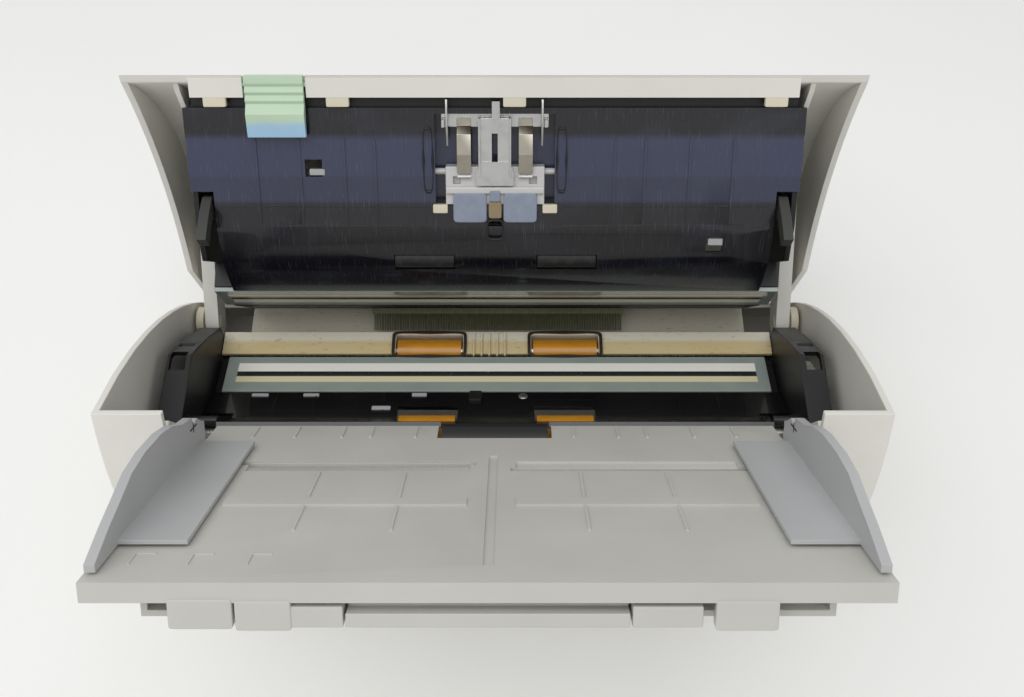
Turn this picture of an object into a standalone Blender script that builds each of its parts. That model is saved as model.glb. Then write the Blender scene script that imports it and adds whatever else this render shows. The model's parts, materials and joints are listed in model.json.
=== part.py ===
"""A compact A4 sheet-fed document scanner, with its cover open and its feed chute folded out.

Metres, +Z up, +X to the right seen from the feed side, +Y from the feed side to the front.
The body and the cover are drawn in one frame whose zero is the cover's hinge axis, with the cover
closed. An empty then turns the cover open. The chute is drawn flat, as seen along its own slope.
"""

import math

import bmesh
import bpy
from mathutils import Matrix, Vector

for old in list(bpy.data.objects):
    bpy.data.objects.remove(old, do_unlink=True)

# Driving dimensions of the whole product
BODY_WIDTH = 0.284
HINGE_HEIGHT = 0.052
OPEN_ANGLE = math.radians(60)
CHUTE_SLOPE = math.radians(45.4)
WALL = 0.0025
SEAT_GAP = 0.0003
RUN_GAP = 0.0008
OVERRUN = 0.004
HALF_WIDTH = BODY_WIDTH / 2

# Widths of the layers from the sides inwards
SIDE_ROOM = 0.008
FRAME_DEPTH = 0.010
POCKET_STEP = 0.007
GLASS_END_ROOM = 0.004
PLATE_OVER_GLASS = 0.0005
NECK_STEP = 0.009
GLASS_THICK = 0.002
FRAME_OUTER = HALF_WIDTH - SIDE_ROOM
FRAME_INNER = FRAME_OUTER - FRAME_DEPTH
POCKET_INNER = FRAME_INNER - POCKET_STEP
GLASS_HALF = FRAME_INNER - GLASS_END_ROOM
COVER_PLATE_HALF = GLASS_HALF + PLATE_OVER_GLASS
COVER_NECK_HALF = COVER_PLATE_HALF - NECK_STEP
PAN_HALF = POCKET_INNER - SEAT_GAP

# Paper path with the cover shut: the backs (towards -Y) and rises of its stations from the hinge
EXIT_NIP = (-0.0160, 0.0055)
GLASS_FRONT = (-0.0220, 0.0060)
GLASS_REAR = (-0.0420, 0.0108)
FEED_NIP = (-0.0600, 0.0215)
PLATE_BEND = (-0.0694, 0.0350)
PLATE_LENGTH = 0.0478
PLATE_LEAN = math.radians(20.65)
PAPER_HALF_GAP = 0.0006
GUIDE_THICK = 0.002

# Side outline: a bowed rear edge and one long arc from the rear corner down to the front
RIM_REAR = (-0.0920, 0.0875)
RIM_HINGE = (0.0095, 0.0010)
RIM_RADIUS = 0.243
REAR_FOOT = (-0.0990, -0.0490)
REAR_RADIUS = 0.150
BODY_FLOOR = REAR_FOOT[1]
ARC_STEPS = 12

# Outer skin of the cover, a curve between its free edge and its front lip
FREE_EDGE = (-0.0940, 0.0905)
FREE_PULL = (-0.0400, 0.0980)
LIP_PULL = (0.0200, 0.0700)
FRONT_LIP = (0.0340, 0.0120)

PARTS = bpy.data.collections.new("document_scanner")
CUTTERS = bpy.data.collections.new("cutters")
bpy.context.scene.collection.children.link(PARTS)
bpy.context.scene.collection.children.link(CUTTERS)


# Colours and finishes

FINISHES = {}


def finish(name, colour, roughness, metallic=0.0):
    material = bpy.data.materials.new(name)
    material.use_nodes = True
    shader = material.node_tree.nodes["Principled BSDF"]
    shader.inputs["Base Color"].default_value = (*colour, 1)
    shader.inputs["Roughness"].default_value = roughness
    shader.inputs["Metallic"].default_value = metallic
    material.diffuse_color = (*colour, 1)
    FINISHES[name] = material


finish("white_shell", (0.77, 0.76, 0.70), 0.45)
finish("grey_chute", (0.50, 0.50, 0.47), 0.50)
finish("grey_guide", (0.42, 0.42, 0.42), 0.50)
finish("dark_plate", (0.017, 0.019, 0.038), 0.15)
finish("black_plastic", (0.008, 0.008, 0.009), 0.40)
finish("dark_grey", (0.05, 0.05, 0.048), 0.45)
finish("cream_plastic", (0.68, 0.62, 0.45), 0.50)
finish("scan_glass", (0.26, 0.30, 0.27), 0.05)
finish("amber_rubber", (0.51, 0.22, 0.01), 0.35)
finish("black_rubber", (0.012, 0.012, 0.012), 0.60)
finish("pad_rubber", (0.26, 0.30, 0.38), 0.70)
finish("pad_grey", (0.58, 0.56, 0.55), 0.40)
finish("spring_steel", (0.40, 0.36, 0.28), 0.30, 1.0)
finish("bright_steel", (0.60, 0.60, 0.58), 0.25, 1.0)
finish("green_lever", (0.54, 0.68, 0.48), 0.45)
finish("brush_fibre", (0.16, 0.16, 0.09), 0.80)
finish("white_gear", (0.75, 0.74, 0.68), 0.45)
finish("circuit_green", (0.02, 0.16, 0.06), 0.50)
finish("foot_rubber", (0.02, 0.02, 0.02), 0.80)


# Solids

TO_X = Matrix(((0, 0, 1, 0), (1, 0, 0, 0), (0, 1, 0, 0), (0, 0, 0, 1)))
WELD_GAP = 0.000001


def named(name, mesh, material=None):
    obj = bpy.data.objects.new(name, mesh)
    PARTS.objects.link(obj)
    if material:
        obj.data.materials.append(FINISHES[material])
    return obj


def outline(name, points, low, high, material=None, along=TO_X):
    """A flat outline given thickness from low to high along one axis, made from a filled 2D curve."""
    curve = bpy.data.curves.new(name, "CURVE")
    curve.dimensions = "2D"
    curve.fill_mode = "BOTH"
    curve.extrude = (high - low) / 2
    spline = curve.splines.new("POLY")
    spline.points.add(len(points) - 1)
    for point, place in zip(spline.points, points):
        point.co = (*place, 0, 1)
    spline.use_cyclic_u = True
    flat = named(name, curve)
    bpy.context.view_layer.update()
    graph = bpy.context.evaluated_depsgraph_get()
    mesh = bpy.data.meshes.new_from_object(flat.evaluated_get(graph))
    bpy.data.objects.remove(flat)
    bpy.data.curves.remove(curve)
    middle = (high + low) / 2
    lift = Matrix.Translation((0, 0, middle if along is TO_X else -middle))
    mesh.transform(along @ lift)
    weld(mesh)
    return named(name, mesh, material)


def weld(mesh):
    form = bmesh.new()
    form.from_mesh(mesh)
    bmesh.ops.remove_doubles(form, verts=form.verts, dist=WELD_GAP)
    bmesh.ops.recalc_face_normals(form, faces=form.faces)
    form.to_mesh(mesh)
    form.free()


def block(name, xs, ys, zs, material=None):
    """A box between two values on each axis, from a unit cube."""
    form = bmesh.new()
    bmesh.ops.create_cube(form, size=1)
    spans = [Vector(pair) for pair in (xs, ys, zs)]
    sizes = [abs(pair[1] - pair[0]) for pair in spans]
    middles = [(pair[1] + pair[0]) / 2 for pair in spans]
    place = Matrix.Translation(middles) @ Matrix.Diagonal((*sizes, 1))
    bmesh.ops.transform(form, matrix=place, verts=form.verts)
    mesh = bpy.data.meshes.new(name)
    form.to_mesh(mesh)
    form.free()
    return named(name, mesh, material)


def rod(name, radius, start, end, material=None, sides=20, end_radius=None):
    """A cylinder or a cone between two points."""
    start, end = Vector(start), Vector(end)
    run = end - start
    form = bmesh.new()
    bmesh.ops.create_cone(
        form,
        cap_ends=True,
        segments=sides,
        radius1=radius,
        radius2=radius if end_radius is None else end_radius,
        depth=run.length,
    )
    turn = Vector((0, 0, 1)).rotation_difference(run).to_matrix().to_4x4()
    bmesh.ops.transform(form, matrix=Matrix.Translation((start + end) / 2) @ turn, verts=form.verts)
    mesh = bpy.data.meshes.new(name)
    form.to_mesh(mesh)
    form.free()
    obj = named(name, mesh, material)
    mesh.shade_smooth()
    mesh.set_sharp_from_angle(angle=math.radians(40))
    return obj


def x_rod(name, radius, low, high, centre, material=None, sides=20):
    """A cylinder along X about a (y, z) centre."""
    return rod(name, radius, (low, *centre), (high, *centre), material, sides)


def work(target, tool, operation):
    change = target.modifiers.new(tool.name, "BOOLEAN")
    change.operation = operation
    change.object = tool
    PARTS.objects.unlink(tool)
    CUTTERS.objects.link(tool)
    tool.hide_render = True
    tool.display_type = "WIRE"
    tool.parent = target
    return target


def cut(target, *tools):
    for tool in tools:
        work(target, tool, "DIFFERENCE")
    return target


def join(target, *tools):
    for tool in tools:
        work(target, tool, "UNION")
    return target


def both_sides(make):
    """Makes the left piece and its mirror image on the right, as two objects."""
    return make("left", -1), make("right", 1)


def span(side, inner, outer):
    """The X range of a piece that lies between two distances from the middle, on one side."""
    return tuple(sorted((side * inner, side * outer)))


# Curves of the side view, as (y, z) points


def shifted(points, distance):
    """An open line moved to the cover's side by a distance, with mitred corners."""
    runs = [Vector(b) - Vector(a) for a, b in zip(points, points[1:])]
    normals = [Vector((run.y, -run.x)).normalized() for run in runs]
    before = [normals[0]] + normals
    after = normals + [normals[-1]]
    moved = []
    for point, first, second in zip(points, before, after):
        middle = (first + second).normalized()
        moved.append(tuple(Vector(point) + middle * (distance / middle.dot(first))))
    return moved


def strip(points, near, far):
    """The closed outline between two distances from an open line."""
    return shifted(points, near) + shifted(points, far)[::-1]


def centre_right_of(start, end, radius):
    """The centre of the circle through two points that bulges to the left of the way from start to end."""
    start, end = Vector(start), Vector(end)
    chord = end - start
    right = Vector((chord.y, -chord.x)).normalized()
    return (start + end) / 2 + right * math.sqrt(radius**2 - (chord.length / 2) ** 2)


RIM_CENTRE = centre_right_of(RIM_REAR, RIM_HINGE, RIM_RADIUS)
REAR_CENTRE = centre_right_of(REAR_FOOT, RIM_REAR, REAR_RADIUS)


def between(first, last, steps):
    return [first + (last - first) * step / steps for step in range(steps + 1)]


def rim(first, last, offset=0.0, steps=ARC_STEPS):
    """Points of the front arc from one height to another, moved outwards by offset."""
    radius = RIM_RADIUS + offset
    heights = between(first, last, steps)
    return [(RIM_CENTRE.x + math.sqrt(radius**2 - (z - RIM_CENTRE.y) ** 2), z) for z in heights]


def rear(first, last, offset=0.0, steps=ARC_STEPS):
    """Points of the bowed rear edge from one height to another, moved outwards by offset."""
    radius = REAR_RADIUS + offset
    heights = between(first, last, steps)
    return [(REAR_CENTRE.x - math.sqrt(radius**2 - (z - REAR_CENTRE.y) ** 2), z) for z in heights]


def skin(first, last, inward=0.0, steps=ARC_STEPS):
    """Points of the cover's outer curve between two shares of its length, moved inwards by a distance."""
    corners = [Vector(corner) for corner in (FREE_EDGE, FREE_PULL, LIP_PULL, FRONT_LIP)]
    points = []
    for t in between(first, last, steps):
        weights = ((1 - t) ** 3, 3 * t * (1 - t) ** 2, 3 * t**2 * (1 - t), t**3)
        slopes = (-((1 - t) ** 2), (1 - t) * (1 - 3 * t), t * (2 - 3 * t), t**2)
        place = sum((corner * weight for corner, weight in zip(corners, weights)), Vector((0, 0)))
        run = sum((corner * slope for corner, slope in zip(corners, slopes)), Vector((0, 0))).normalized()
        points.append(tuple(place + Vector((run.y, -run.x)) * inward))
    return points


UP_PLATE = Vector((-math.sin(PLATE_LEAN), math.cos(PLATE_LEAN)))
TO_PAPER = Vector((-math.cos(PLATE_LEAN), -math.sin(PLATE_LEAN)))
PLATE_TOP = tuple(Vector(PLATE_BEND) + UP_PLATE * PLATE_LENGTH)
PLATE_FACE = Vector(PLATE_BEND) - TO_PAPER * PAPER_HALF_GAP


def on_plate(up, out):
    """The (y, z) place of a point by its distance up the cover's plate and out of its face."""
    return tuple(PLATE_FACE + UP_PLATE * up + TO_PAPER * out)


def plate_block(name, xs, ups, outs, material=None):
    """A box that lies square to the cover's plate."""
    near, far = outs
    corners = [on_plate(ups[0], near), on_plate(ups[1], near), on_plate(ups[1], far), on_plate(ups[0], far)]
    return outline(name, corners, *xs, material)


FEED_NORMAL = (Vector(shifted([GLASS_REAR, FEED_NIP, PLATE_BEND], 1)[1]) - Vector(FEED_NIP)).normalized()
EXIT_NORMAL = (Vector(shifted([EXIT_NIP, GLASS_FRONT], 1)[0]) - Vector(EXIT_NIP)).normalized()


# Empties on the joint axes: each holds the pieces that turn together

PIVOTS = {}


def frame_at(name, parent, place, drawn=None, turn=0.0):
    """An empty at a place of its parent's drawing. Its own pieces are drawn about the point drawn."""
    empty = bpy.data.objects.new(name, None)
    PARTS.objects.link(empty)
    empty.parent = parent
    origin = PIVOTS[parent.name] if parent else Vector((0, 0, 0))
    empty.location = Vector(place) - origin
    empty.rotation_euler.x = turn
    PIVOTS[name] = Vector(place if drawn is None else drawn)
    return empty


def carry(empty, *pieces):
    for piece in pieces:
        piece.parent = empty
        piece.location = -PIVOTS[empty.name]


CHUTE_PIVOT_ALONG = 0.012
CHUTE_PIVOT_BELOW = 0.0066
TRAY_EDGE = (-0.0754, 0.0440)


def off_tray(along, above):
    """The (y, z) place in the body's drawing of a point of the chute's drawing."""
    slope_back = math.cos(CHUTE_SLOPE)
    slope_up = math.sin(CHUTE_SLOPE)
    return (
        TRAY_EDGE[0] - along * slope_back + above * slope_up,
        TRAY_EDGE[1] + along * slope_up + above * slope_back,
    )


CHUTE_PIVOT = off_tray(CHUTE_PIVOT_ALONG, -CHUTE_PIVOT_BELOW)
BODY = frame_at("scanner", None, (0, 0, HINGE_HEIGHT), (0, 0, 0))
COVER = frame_at("cover_hinge", BODY, (0, 0, 0), turn=-OPEN_ANGLE)
CHUTE = frame_at(
    "chute_hinge",
    BODY,
    (0, *CHUTE_PIVOT),
    (0, -CHUTE_PIVOT_ALONG, -CHUTE_PIVOT_BELOW),
    -CHUTE_SLOPE,
)


# Base pan: floor, rear wall and front wall between the side covers

PAN_REAR_TOP = 0.030
PAN_FRONT_TOP = -0.0120
FLOOR_TOP = BODY_FLOOR + WALL
pan_line = rear(PAN_REAR_TOP, BODY_FLOOR, steps=8) + rim(BODY_FLOOR, PAN_FRONT_TOP, steps=5)
pan_inner = rim(PAN_FRONT_TOP, FLOOR_TOP, -WALL, 5) + rear(FLOOR_TOP, PAN_REAR_TOP, -WALL, 8)
base_pan = outline("base_pan", pan_line + pan_inner, -PAN_HALF, PAN_HALF, "white_shell")

# Power inlet and data port in the rear wall, with the board behind them
BOARD_SIDE_ROOM = 0.012
BOARD_LONG = 0.085
BOARD_X = (-POCKET_INNER + BOARD_SIDE_ROOM, -POCKET_INNER + BOARD_SIDE_ROOM + BOARD_LONG)
BOARD_Y = (-0.092, -0.060)
BOARD_RISE = 0.0025
BOARD_THICK = 0.0016
LEG_RADIUS = 0.002
board_low = FLOOR_TOP + BOARD_RISE
board = block("main_board", BOARD_X, BOARD_Y, (board_low, board_low + BOARD_THICK), "circuit_green")
for board_x in BOARD_X:
    for board_y in BOARD_Y:
        leg_x = board_x + (LEG_RADIUS if board_x == BOARD_X[0] else -LEG_RADIUS)
        leg_y = board_y + (LEG_RADIUS if board_y == BOARD_Y[0] else -LEG_RADIUS)
        leg_top = board_low + BOARD_THICK / 2
        leg_foot = (leg_x, leg_y, FLOOR_TOP + SEAT_GAP)
        leg = rod("board_leg", LEG_RADIUS, leg_foot, (leg_x, leg_y, leg_top), sides=8)
        join(board, leg)

PORT_ALONG_BOARD = 0.047
PORT_WIDE = 0.013
port_left = BOARD_X[0] + PORT_ALONG_BOARD
PORT_X = (port_left, port_left + PORT_WIDE)
PORT_HEIGHT = 0.011
port_low = board_low + BOARD_THICK + SEAT_GAP
port_rear = rear(port_low, port_low, steps=1)[0][0]
port_front = BOARD_Y[0] + PORT_HEIGHT
port_heights = (port_low, port_low + PORT_HEIGHT)
port = block("data_port", PORT_X, (port_rear, port_front), port_heights, "bright_steel")
PORT_LIP = 0.001
PORT_DEPTH = 0.008
port_mouth = block(
    "port_mouth",
    (PORT_X[0] + PORT_LIP, PORT_X[1] - PORT_LIP),
    (port_rear - OVERRUN, port_rear + PORT_DEPTH),
    (port_low + PORT_LIP, port_low + PORT_HEIGHT - PORT_LIP),
)
cut(port, port_mouth)
port_hole = block(
    "port_hole",
    (PORT_X[0] - SEAT_GAP, PORT_X[1] + SEAT_GAP),
    (port_rear - OVERRUN, port_rear + PORT_DEPTH),
    (port_low - SEAT_GAP, port_low + PORT_HEIGHT + SEAT_GAP),
)

INLET_ALONG_BOARD = 0.019
INLET_X = BOARD_X[0] + INLET_ALONG_BOARD
INLET_RADIUS = 0.0055
INLET_BORE = 0.0032
INLET_PIN = 0.001
inlet_z = port_low + INLET_RADIUS


def on_inlet(depth):
    return (INLET_X, port_rear + depth, inlet_z)


inlet = rod("power_inlet", INLET_RADIUS, on_inlet(0), (INLET_X, port_front, inlet_z), "black_plastic")
inlet_bore = rod("inlet_bore", INLET_BORE, on_inlet(-OVERRUN), on_inlet(PORT_DEPTH), sides=16)
inlet_pin = rod("inlet_pin", INLET_PIN, on_inlet(WALL), on_inlet(PORT_DEPTH + WALL), sides=8)
cut(inlet, inlet_bore)
join(inlet, inlet_pin)
inlet_hole = rod("inlet_hole", INLET_RADIUS + SEAT_GAP, on_inlet(-OVERRUN), on_inlet(PORT_DEPTH))
cut(base_pan, port_hole, inlet_hole)

# Output tray: a flat plate that pulls out of the front, over the pan's floor
TRAY_SIDE_ROOM = 0.017
TRAY_HALF = POCKET_INNER - TRAY_SIDE_ROOM
TRAY_THICK = 0.002
TRAY_REAR = -0.050
TRAY_LIP_THICK = 0.0025
TRAY_LIP_HEIGHT = 0.008
pan_front = rim(BODY_FLOOR, BODY_FLOOR, steps=1)[0][0]
tray_low = FLOOR_TOP + SEAT_GAP
lip_start = pan_front + SEAT_GAP
output_tray = block(
    "output_tray",
    (-TRAY_HALF, TRAY_HALF),
    (TRAY_REAR, lip_start + TRAY_LIP_THICK / 2),
    (tray_low, tray_low + TRAY_THICK),
    "white_shell",
)
tray_lip = block(
    "tray_lip",
    (-TRAY_HALF, TRAY_HALF),
    (lip_start, lip_start + TRAY_LIP_THICK),
    (BODY_FLOOR + SEAT_GAP, BODY_FLOOR + TRAY_LIP_HEIGHT),
)
join(output_tray, tray_lip)
tray_slot = block(
    "tray_slot",
    (-TRAY_HALF - SEAT_GAP, TRAY_HALF + SEAT_GAP),
    (pan_front - OVERRUN * 2, pan_front + OVERRUN),
    (FLOOR_TOP, tray_low + TRAY_THICK + SEAT_GAP),
)
cut(base_pan, tray_slot)
carry(BODY, base_pan, board, port, inlet, output_tray)


# Side covers: deep open pockets with a bowed rear wall, on either side of the body

POCKET_LIP_Z = -0.0100
POCKET_SKY = 0.020
LUG_THICK = 0.0025
LUG_TOP_DROP = 0.010
LUG_FRONT_CLEAR = 0.004
LUG_FRONT = -0.0695
PIN_RADIUS = 0.003
FOOT_RADIUS = 0.006
FOOT_Y = (-0.084, 0.012)
FOOT_INSET = 0.016
FOOT_X = HALF_WIDTH - FOOT_INSET


def side_cover(which, side):
    name = "side_cover_" + which
    profile = rear(BODY_FLOOR, RIM_REAR[1]) + rim(RIM_REAR[1], BODY_FLOOR)[1:]
    cover = outline(name, profile, *span(side, POCKET_INNER, HALF_WIDTH), "white_shell")
    hollow = rear(FLOOR_TOP, RIM_REAR[1], -WALL)
    hollow.append((hollow[-1][0], RIM_REAR[1] + POCKET_SKY))
    hollow.append((rim(POCKET_LIP_Z, POCKET_LIP_Z, steps=1)[0][0] + POCKET_SKY, RIM_REAR[1] + POCKET_SKY))
    hollow.append((rim(POCKET_LIP_Z, POCKET_LIP_Z, steps=1)[0][0] + POCKET_SKY, POCKET_LIP_Z))
    hollow += rim(POCKET_LIP_Z, FLOOR_TOP, -WALL, 6)
    inside = outline(which + "_pocket", hollow, *span(side, POCKET_INNER - OVERRUN, HALF_WIDTH - WALL))
    cut(cover, inside)
    plate_line = [FEED_NIP, PLATE_BEND, PLATE_TOP]
    front_edge = shifted(plate_line, -LUG_FRONT_CLEAR)
    top = RIM_REAR[1] - LUG_TOP_DROP
    web = rear(BODY_FLOOR + WALL / 2, top, -WALL / 2) + [front_edge[2], front_edge[1]]
    web += [(LUG_FRONT, front_edge[0][1]), (LUG_FRONT, BODY_FLOOR + WALL / 2)]
    lug = outline(which + "_lug", web, *span(side, POCKET_INNER, POCKET_INNER + LUG_THICK))
    join(cover, lug)
    bore_xs = span(side, POCKET_INNER - OVERRUN, POCKET_INNER + LUG_THICK + OVERRUN)
    bore = x_rod(which + "_chute_bore", PIN_RADIUS + SEAT_GAP, *bore_xs, CHUTE_PIVOT)
    cut(cover, bore)
    for end, foot_y in zip(("rear", "front"), FOOT_Y):
        foot_name = "foot_" + end + "_" + which
        place = (side * FOOT_X, foot_y)
        foot_top = (*place, BODY_FLOOR - SEAT_GAP)
        foot = rod(foot_name, FOOT_RADIUS, (*place, -HINGE_HEIGHT), foot_top, "foot_rubber", 24)
        carry(BODY, foot)
    carry(BODY, cover)
    return cover


both_sides(side_cover)


# Shafts and rollers of the lower paper path

SHAFT_RADIUS = 0.003
FEED_RADIUS = 0.008
EXIT_RADIUS = 0.0055
PINCH_RADIUS = 0.004
PINCH_SHAFT = 0.0015
FEED_ROLLER_X = (0.017, 0.041)
EXIT_ROLLER_X = (0.0162, 0.0450)
NIP_GAP = 0.0002
FEED_AXIS = tuple(Vector(FEED_NIP) - FEED_NORMAL * FEED_RADIUS)
EXIT_AXIS = tuple(Vector(EXIT_NIP) - EXIT_NORMAL * EXIT_RADIUS)
GEAR_START = FRAME_OUTER + RUN_GAP
GEAR_WIDTH = 0.0040
GEAR_END = GEAR_START + GEAR_WIDTH
SHAFT_LEFT = -FRAME_INNER - WALL
FEED_SHAFT = frame_at("feed_axis", BODY, (0, *FEED_AXIS))
EXIT_SHAFT = frame_at("exit_axis", BODY, (0, *EXIT_AXIS))


def roller_pair(kind, empty, axis, radius, xs):
    shaft = x_rod(kind + "_shaft", SHAFT_RADIUS, SHAFT_LEFT, GEAR_END, axis, "bright_steel", 16)
    carry(empty, shaft)
    for which, side in (("left", -1), ("right", 1)):
        name = kind + "_roller_" + which
        roller = x_rod(name, radius, *span(side, *xs), axis, "amber_rubber", 28)
        bore_xs = span(side, xs[0] - OVERRUN, xs[1] + OVERRUN)
        bore = x_rod(name + "_bore", SHAFT_RADIUS + SEAT_GAP, *bore_xs, axis, sides=16)
        cut(roller, bore)
        carry(empty, roller)


roller_pair("feed", FEED_SHAFT, FEED_AXIS, FEED_RADIUS, FEED_ROLLER_X)
roller_pair("exit", EXIT_SHAFT, EXIT_AXIS, EXIT_RADIUS, EXIT_ROLLER_X)


# Gear train on the right, outside the side frame

TOOTH_MODULE = 0.001
FEED_TEETH = 24
EXIT_TEETH = 16
IDLER_TEETH = 34
PINION_TEETH = 10
TOOTH_ADDENDUM_SHARE = 0.80
TOOTH_ROOT_SHARE = 1.15
TOOTH_TIP_SHARE = 0.13
TOOTH_BASE_SHARE = 0.235
MOTOR_SHAFT = 0.002
MOTOR_RADIUS = 0.0125
MOTOR_LENGTH = 0.036
MOTOR_BELOW = math.radians(-88)


def pitch_radius(teeth):
    return TOOTH_MODULE * teeth / 2


def gear(name, teeth, centre, first_tooth, bore, material="white_gear"):
    """A spur gear across X. One tooth's middle points at the angle first_tooth in the (y, z) plane."""
    points = []
    root = pitch_radius(teeth) - TOOTH_MODULE * TOOTH_ROOT_SHARE
    tip = pitch_radius(teeth) + TOOTH_MODULE * TOOTH_ADDENDUM_SHARE
    step = 2 * math.pi / teeth
    for tooth in range(teeth):
        middle = first_tooth + tooth * step
        for share, radius in (
            (-TOOTH_BASE_SHARE, root),
            (-TOOTH_TIP_SHARE, tip),
            (TOOTH_TIP_SHARE, tip),
            (TOOTH_BASE_SHARE, root),
        ):
            angle = middle + share * step
            points.append((centre[0] + radius * math.cos(angle), centre[1] + radius * math.sin(angle)))
    wheel = outline(name, points, GEAR_START, GEAR_END, material)
    if bore:
        ends = (GEAR_START - OVERRUN, GEAR_END + OVERRUN)
        cut(wheel, x_rod(name + "_bore", bore + SEAT_GAP, *ends, centre, sides=16))
    return wheel


def direction(start, end):
    return math.atan2(end[1] - start[1], end[0] - start[0])


def meshing(teeth, centre):
    """The angle of a gear's first tooth, so that it meets a gap of the idler on their line of centres."""
    idler_step = 2 * math.pi / IDLER_TEETH
    phase = (direction(IDLER_AXIS, centre) - IDLER_FIRST_TOOTH) / idler_step
    return direction(centre, IDLER_AXIS) + (phase + 1 / 2) * 2 * math.pi / teeth


feed_reach = pitch_radius(FEED_TEETH + IDLER_TEETH)
exit_reach = pitch_radius(EXIT_TEETH + IDLER_TEETH)
axes_line = Vector(EXIT_AXIS) - Vector(FEED_AXIS)
axes_span = axes_line.length
idler_along = (feed_reach**2 - exit_reach**2 + axes_span**2) / (2 * axes_span)
idler_aside = math.sqrt(feed_reach**2 - idler_along**2)
along_axes = axes_line.normalized()
IDLER_AXIS = tuple(
    Vector(FEED_AXIS) + along_axes * idler_along + Vector((along_axes.y, -along_axes.x)) * idler_aside
)
motor_reach = pitch_radius(PINION_TEETH + IDLER_TEETH)
MOTOR_AXIS = (
    IDLER_AXIS[0] + motor_reach * math.cos(MOTOR_BELOW),
    IDLER_AXIS[1] + motor_reach * math.sin(MOTOR_BELOW),
)

IDLER_FIRST_TOOTH = 0.0
feed_first = meshing(FEED_TEETH, FEED_AXIS)
exit_first = meshing(EXIT_TEETH, EXIT_AXIS)
pinion_first = meshing(PINION_TEETH, MOTOR_AXIS)

IDLER = frame_at("idler_axis", BODY, (0, *IDLER_AXIS))
PINION = frame_at("pinion_axis", BODY, (0, *MOTOR_AXIS))
carry(FEED_SHAFT, gear("feed_gear", FEED_TEETH, FEED_AXIS, feed_first, SHAFT_RADIUS))
carry(EXIT_SHAFT, gear("exit_gear", EXIT_TEETH, EXIT_AXIS, exit_first, SHAFT_RADIUS))
carry(IDLER, gear("idler_gear", IDLER_TEETH, IDLER_AXIS, IDLER_FIRST_TOOTH, SHAFT_RADIUS))
motor_end = FRAME_INNER - SEAT_GAP
motor_pinion = gear("motor_pinion", PINION_TEETH, MOTOR_AXIS, pinion_first, 0)
shaft_ends = (motor_end - MOTOR_RADIUS, GEAR_START + WALL)
join(motor_pinion, x_rod("motor_shaft", MOTOR_SHAFT, *shaft_ends, MOTOR_AXIS, sides=12))
carry(PINION, motor_pinion)
motor = x_rod("motor", MOTOR_RADIUS, motor_end - MOTOR_LENGTH, motor_end, MOTOR_AXIS, "bright_steel", 28)
bore_ends = (motor_end - MOTOR_RADIUS - WALL, motor_end + OVERRUN)
cut(motor, x_rod("motor_bore", MOTOR_SHAFT + SEAT_GAP, *bore_ends, MOTOR_AXIS, sides=12))
carry(BODY, motor)


# Side frames: black moulded walls that carry the shafts, with two windows in their tops

FRAME_FRONT = -0.0105
FRAME_REAR = -0.0760
FRAME_TOP = 0.0440
FRAME_ARC_DROP = 0.0106
FRAME_NOSE_Z = 0.0190
FRAME_TAIL_Z = 0.0300
FRAME_WEB = 0.0025
WINDOW_SIZE = 0.0095
WINDOW_Y = (-0.0500, -0.0350)
CATCH_AXIS = (-0.0692, 0.0362)
CATCH_RADIUS = 0.0020
CATCH_INNER = COVER_NECK_HALF + SEAT_GAP
frame_low = FLOOR_TOP + SEAT_GAP


def side_frame(which, side):
    name = "side_frame_" + which
    crest = rim(FRAME_NOSE_Z, FRAME_TOP, -FRAME_ARC_DROP, 5)
    tail = [(FRAME_REAR, FRAME_TOP), (FRAME_REAR, FRAME_TAIL_Z)]
    outer = [(FRAME_FRONT, frame_low), (FRAME_FRONT, FRAME_NOSE_Z - WALL * 3)] + crest + tail
    outer.append((FRAME_REAR, frame_low))
    frame = outline(name, outer, *span(side, FRAME_INNER, FRAME_OUTER), "black_plastic")
    middle = rim(FRAME_NOSE_Z, FRAME_TOP - WALL, -FRAME_ARC_DROP - WALL, 5)
    inner_front = FRAME_FRONT - WALL
    inner = [(inner_front, frame_low + WALL), (inner_front, FRAME_NOSE_Z - WALL * 4)] + middle
    inner += [(FRAME_REAR + WALL, FRAME_TOP - WALL), (FRAME_REAR + WALL, frame_low + WALL)]
    hollow_xs = span(side, FRAME_INNER + FRAME_WEB, FRAME_OUTER + OVERRUN)
    hollow = outline(which + "_frame_hollow", inner, *hollow_xs)
    cut(frame, hollow)
    for number, window_y in enumerate(WINDOW_Y):
        window = block(
            which + "_window_" + str(number),
            span(side, FRAME_INNER + FRAME_WEB, FRAME_OUTER - WALL / 2),
            (window_y, window_y + WINDOW_SIZE),
            (FRAME_TOP - WALL * 4, FRAME_TOP + OVERRUN),
        )
        cut(frame, window)
    catch_xs = span(side, CATCH_INNER, FRAME_INNER + FRAME_WEB / 2)
    catch = x_rod(which + "_catch", CATCH_RADIUS, *catch_xs, CATCH_AXIS, sides=16)
    join(frame, catch)
    bore_span = span(side, FRAME_INNER - OVERRUN, FRAME_INNER + FRAME_WEB + OVERRUN)
    for hole, radius in ((FEED_AXIS, SHAFT_RADIUS), (EXIT_AXIS, SHAFT_RADIUS)):
        cut(frame, x_rod(which + "_shaft_hole", radius + SEAT_GAP, *bore_span, hole, sides=16))
    if side > 0:
        stub_start = FRAME_INNER + FRAME_WEB / 2
        stub = x_rod("idler_stub", SHAFT_RADIUS, stub_start, GEAR_END, IDLER_AXIS, sides=16)
        join(frame, stub)
        cut(frame, x_rod("pinion_hole", MOTOR_SHAFT + RUN_GAP, *bore_span, MOTOR_AXIS, sides=12))
    carry(BODY, frame)
    return frame


both_sides(side_frame)


# Hinge brackets: cream posts at the sides, each with the cover's hinge pin

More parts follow.
